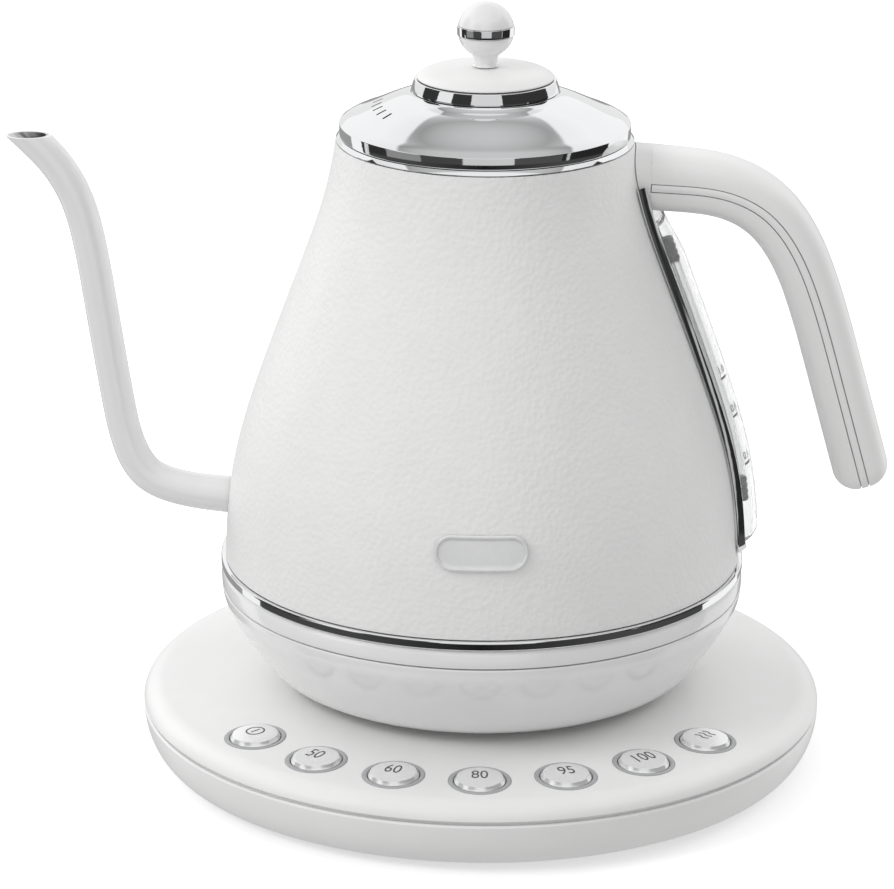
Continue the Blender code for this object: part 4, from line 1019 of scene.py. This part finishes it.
def make_gauge():
    low, high = GAUGE_Z
    foot = [low + GAUGE_FOOT * (1 - math.cos(a)) for a in np.linspace(0, math.pi / 2, 15)]
    crown = [high - e for e in (2.4, 1.2, 0.5, 0.15, 0.0)]
    heights = [*foot, *np.linspace(low + GAUGE_FOOT + 2, high - 4, 46), *crown]
    turns = [math.pi * i / 32 for i in range(33)]
    rings = []
    for z in heights:
        hollow = window_rise(z) - GAUGE_WALL - GAUGE_LIFT if min(z - low, high - z) > 2.0 else 0.0
        inner = [on_body(0.0, math.cos(turn) * (window_half(z) - GAUGE_WALL), z,
                         GAUGE_LIFT + hollow * math.sin(turn) ** WINDOW_SQUARE) for turn in turns]
        rings.append([window_point(turn, z) for turn in turns] + inner[::-1])
    settle(lofted("gauge_cover", rings, "hazy_plastic"), "kettle", "gauge_window")
    make_gauge_frame()
    make_sight_tube()
    make_gauge_marks()


def make_gauge_frame():
    """Chrome surround: a small section carried down one side, under the window and up the other."""
    low = GAUGE_Z[0] - FRAME_MARGIN
    corner = FRAME_CORNER
    half = FRAME_HALF - 1.3
    stops = list(np.linspace(low + corner, FRAME_TOP_Z, 56)[1:])
    path = [(-half, z, -1.0, 0.0) for z in reversed(stops)]
    for across, start in ((corner - half, 180), (half - corner, 270)):
        for degrees in np.linspace(start, start + 90, 13):
            angle = math.radians(degrees)
            out_a, out_z = math.cos(angle), math.sin(angle)
            path.append((across + corner * out_a, low + corner + corner * out_z, out_a, out_z))
    path += [(half, z, 1.0, 0.0) for z in stops]
    edge = FRAME_STRIP_HALF
    section = rounded([(-edge, GAUGE_LIFT), (edge, GAUGE_LIFT), (edge, 0.95), (-0.5, FRAME_RISE),
                       (-edge, FRAME_RISE)], 0.15)
    rings = [[on_body(0.0, across + out_a * offset, z + out_z * offset, lift)
              for offset, lift in section] for across, z, out_a, out_z in path]
    settle(lofted("gauge_surround", rings, "chrome"), "kettle", "gauge_frame")


def gauge_station(z, radius, sides):
    """Ring round the line of the sight tube, which follows the body."""
    centre = Vector(on_body(0.0, 0.0, z, TUBE_OFFSET))
    above = Vector(on_body(0.0, 0.0, z + 1.0, TUBE_OFFSET))
    way = (above - centre).normalized()
    return circle_ring((centre.x, centre.z), (way.x, way.z), radius, sides)


def make_sight_tube():
    low = SEAL_Z[0] + SEAL_LENGTH / 2 + GAP
    high = SEAL_Z[1] - SEAL_LENGTH / 2 - GAP
    heights = np.linspace(low, high, 50)
    outer = [gauge_station(z, TUBE_R, 32) for z in heights]
    bore = [gauge_station(z, TUBE_R - TUBE_WALL, 32) for z in heights]
    tube = lofted("sight_tube", outer + bore[::-1], "clear_plastic", closed=True)
    settle(tube, "kettle", "gauge_tube")
    for name, node, middle in (("ribbed_seal_low", "gauge_seal_lower", SEAL_Z[0]),
                               ("ribbed_seal_high", "gauge_seal_upper", SEAL_Z[1])):
        rings = []
        for share in np.linspace(0.0, 1.0, 33):
            rib = (0.5 - 0.5 * math.cos(share * math.tau * SEAL_RIBS)) ** 0.6
            z = middle + SEAL_LENGTH * (share - 0.5)
            rings.append(gauge_station(z, SEAL_R + SEAL_RIB * rib, 40))
        settle(lofted(name, rings, "black_rubber"), "kettle", node)


def make_gauge_marks():
    """Level lines with plain numerals, printed across the crown of the window."""
    marks = bmesh.new()
    for z, words in MARKS:
        dash = ribbon_mesh([(x, 0.0) for x in np.linspace(-2.0, 2.0, 17)], 0.32)
        digits = text_mesh(words, 3.4)
        digits.transform(Matrix.Translation((0.0, 2.6, 0.0)))
        mesh_data = bmesh.new()
        for flat in (dash, digits):
            mesh_data.from_mesh(flat)
        bmesh.ops.triangulate(mesh_data, faces=mesh_data.faces[:])
        grown = bmesh.ops.extrude_face_region(mesh_data, geom=mesh_data.faces[:])
        tops = {item for item in grown["geom"] if isinstance(item, bmesh.types.BMVert)}
        for vert in mesh_data.verts:
            turn = math.acos((vert.co.x - MARK_ASIDE) / GAUGE_HALF)
            vert.co = window_point(turn, z + vert.co.y, 0.06 if vert in tops else -0.03)
        marks.from_mesh(mesh_from("mark", mesh_data))
    settle(finish("gauge_marks", marks, "ink"), "kettle")


def make_emblem():
    """Blank plate with a raised rim."""
    half = EMBLEM_HALF_LENGTH - EMBLEM_HALF_HEIGHT
    quarter = [math.radians(i * 5) for i in range(19)]
    end_r = EMBLEM_HALF_HEIGHT
    upper = [(half, end_r * math.cos(a), end_r * math.sin(a)) for a in quarter]
    upper += [(half * k, 0.0, end_r) for k in (0.75, 0.5, 0.25, 0.0)]
    upper += [(-centre, -across, up) for centre, across, up in reversed(upper[:-1])]
    outline = upper + [(centre, across, -up) for centre, across, up in reversed(upper[1:-1])]
    section = [(0.35, 0.3), (0.35, 0.95), (0.42, 1.25), (0.6, 1.4), (0.85, 1.45), (1.1, 1.4), (1.28, 1.22),
               (1.38, 0.9), (1.5, 0.82), (2.4, 0.8), (3.6, 0.8), (5.0, 0.8)]
    rings = []
    for inset, lift in [(5.0, 0.3), *section]:
        scale = 1.0 - inset / end_r
        rings.append([on_body(-90.0, centre + across * scale, EMBLEM_Z + up * scale, lift)
                      for centre, across, up in outline])
    settle(lofted("emblem_blank", rings, "silver_plate", cap="ladder"), "kettle", "emblem_plate")


# ---------------------------------------------------------------- lid

def make_lid_cone():
    foot = (COLLAR_R - 0.2, COLLAR_Z[0] - GAP)
    cone = flowing([foot, (23.85, 222.5), (24.6, 221.9), (26.3, 221.3), (29.4, 220.4), (36.0, 217.7),
                    (42.5, 214.8), (45.6, 213.4), (46.5, 212.8), (LID_R, LID_RIM_Z)], 80)
    outside = [*cone, (LID_R, LID_BOTTOM_Z)]
    inside = [(r - LID_WALL * 0.7, z - LID_WALL) for r, z in cone[4:-6:4]]
    inner = [(LID_R - LID_WALL, LID_BOTTOM_Z), (LID_R - LID_WALL, LID_RIM_Z - 1.2), *reversed(inside),
             (foot[0] - 2.0, foot[1] - 1.0), (foot[0] - 2.0, foot[1])]
    shell = turned("lid_cone", outside + inner, "chrome", FINE, 0.5, sharp_deg=26.0)
    tools = []
    for number in range(VENT_COUNT):
        degrees = VENT_FIRST_DEG + number * VENT_STEP_DEG
        turn = Matrix.Rotation(math.radians(degrees), 3, "Z")
        size = (2 * VENT_HALF_LENGTH, VENT_WIDTH, 16.0)
        tools.append(slab(polar(VENT_R, degrees, 218.0), size, turn))
    settle(carve(shell, tools, sharp_deg=26.0), "lid", "lid_shell")


def make_lid_cap():
    low, high = COLLAR_Z
    inner = CAP_R - 4.0
    collar = [(inner, low), (COLLAR_R, low), (COLLAR_R - 0.15, low + 0.8), (CAP_R + 0.6, high),
              (inner, high)]
    settle(turned("lid_band", collar, "chrome", FINE, 0.35), "lid", "lid_collar")
    base = high + GAP
    face = flowing([(CAP_R - 0.1, base + 0.5), (CAP_R - 1.6, base + 1.5), (15.0, base + 2.75),
                    (7.5, CAP_TOP_Z - 0.2), (0, CAP_TOP_Z)], 30)
    cap = [(0, base), (CAP_R, base), *face[:-1], (0, CAP_TOP_Z)]
    settle(turned("lid_disc", cap, "white_satin", FINE, 0.3), "lid", "lid_cap")


def make_lid_cup():
    cup_r = PLUG_WALL_R
    flange = LID_BOTTOM_Z + 1.0
    flange_r = LID_R - LID_WALL - GAP
    cup = [(0, PLUG_FLOOR_Z), (cup_r - 1.0, PLUG_FLOOR_Z), (cup_r, PLUG_FLOOR_Z + 1.0), (cup_r, flange),
           (flange_r, flange), (flange_r, flange + 1.0), (cup_r - 1.0, flange + 1.0),
           (cup_r - 1.0, PLUG_FLOOR_Z + 1.2), (0, PLUG_FLOOR_Z + 1.2)]
    settle(turned("lid_cup", cup, "steel", FINE, 0.5), "lid", "lid_inner_cup")
    inner = cup_r + GAP
    outer = vessel_neck_r() - GAP
    gasket = [(inner, 202.0), (outer - 0.4, 202.0), (outer, 203.0), (outer - 0.4, 204.0),
              (inner, 204.0)]
    settle(turned("lid_seal", gasket, "black_rubber", FINE, 0.3), "lid", "lid_gasket")


def make_knob():
    low, high = KNOB_BAND_Z

    def ball(start_z, end_z, steps):
        start = math.asin((start_z - KNOB_Z) / KNOB_R)
        end = math.asin(min(1.0, (end_z - KNOB_Z) / KNOB_R))
        angles = np.linspace(start, end, steps)
        return [(KNOB_R * math.cos(a), KNOB_Z + KNOB_R * math.sin(a)) for a in angles]

    foot = CAP_TOP_Z + GAP
    neck = [(0, foot), (KNOB_NECK_R + 0.4, foot)]
    neck += flowing([(KNOB_NECK_R + 0.35, foot + 0.2), (KNOB_NECK_R + 0.05, foot + 0.8),
                     (KNOB_NECK_R, foot + 2.0), (KNOB_NECK_R + 0.55, 234.7)], 12)
    lower = [*neck, *ball(235.2, low - KNOB_SEAM, 24), (0, low - KNOB_SEAM)]
    settle(turned("knob_lower_half", lower, "white_gloss", MEDIUM), "lid", "knob_lower")
    wide = KNOB_R + KNOB_SEAM
    band = [(0, low), (wide, low), (wide, high), (0, high)]
    settle(turned("knob_ring", band, "chrome", MEDIUM, 0.3), "lid", "knob_band")
    top = KNOB_Z + KNOB_R
    upper = [(0, high + KNOB_SEAM), *ball(high + KNOB_SEAM, top, 32)[:-1], (0, top)]
    settle(turned("knob_upper_half", upper, "white_gloss", MEDIUM), "lid", "knob_upper")


# ---------------------------------------------------------------- carried-over nodes

def dress_cad_nodes():
    """CAD nodes that stay take the same procedural finishes, by their slot in the record."""
    slots = {part["node"]: part["material_slot"] for part in frame["record"]["subparts"]}
    for name, node in frame["nodes"].items():
        if node.hide_render:
            continue
        node.data.materials.clear()
        node.data.materials.append(MATERIALS[slots[name]])


# ---------------------------------------------------------------- studio

CAMERA_PLACE = (0.0008, -1.309132, 0.542698)
CAMERA_YAW = -0.54693185
CAMERA_TILT = 18.54705982
CAMERA_ROLL = 0.29227372
CAMERA_LENS = 169.13


def make_camera():
    """Long lens, a little above the lid, looking down at the front."""
    yaw = math.radians(CAMERA_YAW)
    tilt = math.radians(CAMERA_TILT)
    roll = math.radians(CAMERA_ROLL)
    right = Vector((math.cos(yaw), -math.sin(yaw), 0.0))
    up = Vector((math.sin(yaw) * math.sin(tilt), math.cos(yaw) * math.sin(tilt), math.cos(tilt)))
    ahead = Vector((math.sin(yaw) * math.cos(tilt), math.cos(yaw) * math.cos(tilt), -math.sin(tilt)))
    side = right * math.cos(roll) + up * math.sin(roll)
    top = up * math.cos(roll) - right * math.sin(roll)
    data = bpy.data.cameras.new("camera")
    data.lens = CAMERA_LENS
    data.sensor_width = 36.0
    data.sensor_fit = "HORIZONTAL"
    data.clip_start = 0.05
    data.clip_end = 50.0
    camera = linked("camera", data)
    axes = Matrix((side, top, -ahead)).transposed().to_4x4()
    camera.matrix_world = Matrix.Translation(CAMERA_PLACE) @ axes
    bpy.context.scene.camera = camera


def softbox(name, place, energy):
    """A light aimed at the kettle. It gives light only; what shows in reflections is the dome."""
    data = bpy.data.lights.new(name, "AREA")
    data.shape = "RECTANGLE"
    data.size = data.size_y = 0.9
    data.energy = energy
    light = linked(name, data)
    turn = (Vector((0, 0, 0.12)) - Vector(place)).to_track_quat("-Z", "Y")
    light.matrix_world = Matrix.Translation(place) @ turn.to_matrix().to_4x4()
    light.visible_glossy = False
    light.visible_transmission = False


# What polished metal sees in front: brightness by azimuth, counted from the front towards the
# handle. The low panels show in upright chrome, the high ones in chrome that leans back.
LOW_PANELS = ((-112, -83, 0.03), (-83, -51, 0.27), (-51, -17, 0.06), (-17, 23, 0.62), (23, 63, 0.075),
              (63, 67, 0.02), (67, 70, 0.5), (70, 115, 0.02))
HIGH_PANELS = ((-80, -54, 0.9), (-22, 27, 0.72))
PANEL_SPLIT_DEG = 3.0           # elevation between the low panels and the high ones
DARK_ROOM = 0.035
ROOM_BACK_DEG = 113.0           # behind this azimuth the room is light
ROOM_TOP_DEG = 36.0
ROOM_BLEND_DEG = 16.0           # height over which the back wall blends into the ceiling
ROOM_FLOOR_DEG = -30.0
FLOOR_GLOW = 0.72
DESK_TOP_DEG = -16.5            # below this, upright chrome in front shows the dark desk
DESK_FOOT_DEG = -40.0
DESK_SIDE_DEG = 95.0            # the desk reaches this far round
GAP_HALF = 0.78                 # gap between the overhead softboxes: half width at a height of 1
GAP_TAPER = 0.49                # how much it narrows towards the back
GAP_EDGE = 0.03                 # width of its soft edge
GAP_FRONT = 0.38                # how far it reaches forward
SOFTBOX_GLOW = 0.92
DOME_R = 6.0
DOME_Z = 0.15


def ceiling_light(aside, behind):
    """Brightness overhead, at a distance aside and behind for a height of 1."""
    half = GAP_HALF - GAP_TAPER * behind
    bright = SOFTBOX_GLOW - 0.18 * min(1.0, max(0.0, abs(aside) - half) / 1.4)
    if half < GAP_EDGE or behind < -GAP_FRONT:
        return bright
    share = min(1.0, abs(aside - 0.02) / half)
    middle = 0.62 - 0.56 * min(0.57, max(0.0, behind - 0.43))
    dim = max(0.2, middle * (1.0 - 0.4 * share * share))
    inside = min(1.0, max(0.0, 0.5 + (half - abs(aside)) / GAP_EDGE))
    return bright + (dim - bright) * inside


def back_wall_light(azimuth, elevation):
    """Brightness behind the kettle: a pale wall, darker in one stretch low at the back."""
    if elevation < -3.0:
        return 1.0 if -130 < azimuth < 0 or 0 < azimuth < 154 else 0.34
    return 1.0 if elevation > 12.0 else 0.86


def room_light(way):
    """Brightness of the surroundings in a direction, as polished metal shows them."""
    elevation = math.degrees(math.asin(max(-1.0, min(1.0, way.z))))
    azimuth = math.degrees(math.atan2(way.x, -way.y))
    aside = abs(azimuth)
    if elevation < (DESK_FOOT_DEG if aside < DESK_SIDE_DEG else ROOM_FLOOR_DEG):
        return FLOOR_GLOW
    if elevation > ROOM_TOP_DEG:
        above = ceiling_light(way.x / way.z, way.y / way.z)
        wall = 1.0 if aside > ROOM_BACK_DEG else above
        return wall + (above - wall) * min(1.0, (elevation - ROOM_TOP_DEG) / ROOM_BLEND_DEG)
    if aside > ROOM_BACK_DEG:
        return back_wall_light(azimuth, elevation)
    if elevation < DESK_TOP_DEG:
        return 0.012 + 0.05 * min(1.0, aside / 60.0)
    panels = LOW_PANELS if elevation < PANEL_SPLIT_DEG else HIGH_PANELS
    return next((value for start, end, value in panels if start <= azimuth <= end), DARK_ROOM)


def make_dome():
    """A dome that only reflections see, so that chrome has light and dark to show."""
    columns = 720
    rows = 288
    mesh_data = bmesh.new()
    rings = []
    for row in range(rows + 1):
        elevation = -math.pi / 2 + math.pi * row / rows
        reach, z = DOME_R * math.cos(elevation), DOME_R * math.sin(elevation)
        if row in (0, rows):
            rings.append([mesh_data.verts.new((0, 0, z))])
            continue
        turns = [math.tau * column / columns for column in range(columns)]
        rings.append([mesh_data.verts.new((reach * math.sin(a), -reach * math.cos(a), z)) for a in turns])
    for low, high in zip(rings, rings[1:]):
        for i in range(columns):
            mesh_data.faces.new(quad(low, high, i, (i + 1) % columns))
    mesh = mesh_from("reflection_dome", mesh_data)
    glow = mesh.attributes.new("glow", "FLOAT", "POINT")
    glow.data.foreach_set("value", [room_light(vert.co.normalized()) for vert in mesh.vertices])
    dome = linked("reflection_dome", mesh)
    dome.location.z = DOME_Z
    paint = bpy.data.materials.new("reflection_dome")
    paint.use_nodes = True
    nodes = paint.node_tree.nodes
    links = paint.node_tree.links
    nodes.clear()
    value = nodes.new("ShaderNodeAttribute")
    value.attribute_name = "glow"
    emission = nodes.new("ShaderNodeEmission")
    output = nodes.new("ShaderNodeOutputMaterial")
    links.new(value.outputs["Fac"], emission.inputs["Strength"])
    links.new(emission.outputs["Emission"], output.inputs["Surface"])
    mesh.materials.append(paint)
    for kind in ("camera", "diffuse", "shadow", "transmission", "volume_scatter"):
        setattr(dome, f"visible_{kind}", False)


def make_floor():
    """Pale floor that the feet stand on."""
    mesh_data = bmesh.new()
    bmesh.ops.create_circle(mesh_data, cap_ends=True, radius=5.0, segments=128)
    floor = linked("floor", mesh_from("floor", mesh_data))
    floor.location.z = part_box("base_foot_1")[0].z
    tree = Tree("studio_floor", (0.93, 0.93, 0.93), 0.6, Specular_IOR_Level=0.1,
                Emission_Strength=0.26, Emission_Color=(1.0, 1.0, 1.0, 1.0))
    tree.tint(3, 0.004)
    floor.data.materials.append(tree.material)
    floor.visible_diffuse = False
    floor.visible_glossy = False


def make_world():
    """Plain white surroundings, brighter from above than from below."""
    world = bpy.data.worlds.new("studio")
    world.use_nodes = True
    nodes = world.node_tree.nodes
    links = world.node_tree.links
    background = nodes["Background"]
    background.inputs["Color"].default_value = (1.0, 1.0, 1.0, 1.0)
    parts = nodes.new("ShaderNodeSeparateXYZ")
    share = nodes.new("ShaderNodeMapRange")
    for socket, value in zip(("From Min", "From Max", "To Min", "To Max"), (-0.45, 0.1, 0.56, 0.79)):
        share.inputs[socket].default_value = value
    links.new(nodes.new("ShaderNodeTexCoord").outputs["Generated"], parts.inputs["Vector"])
    links.new(parts.outputs["Z"], share.inputs["Value"])
    links.new(share.outputs["Result"], background.inputs["Strength"])
    bpy.context.scene.world = world


def make_studio():
    bpy.context.scene.view_settings.view_transform = "Standard"
    make_camera()
    make_floor()
    make_dome()
    make_world()
    softbox("key", (-1.5, -0.7, 1.3), 13.0)
    softbox("back_left", (-1.2, 1.3, 0.9), 8.0)
    softbox("back_right", (1.5, 0.9, 0.9), 8.0)


def main():
    make_base_top()
    make_base_bottom()
    make_base_fittings()
    make_connector()
    make_buttons()
    make_body()
    make_vessel()
    make_rings()
    make_underside()
    make_spout()
    make_handle()
    make_gauge()
    make_emblem()
    make_lid_cone()
    make_lid_cap()
    make_lid_cup()
    make_knob()
    dress_cad_nodes()
    make_studio()


main()
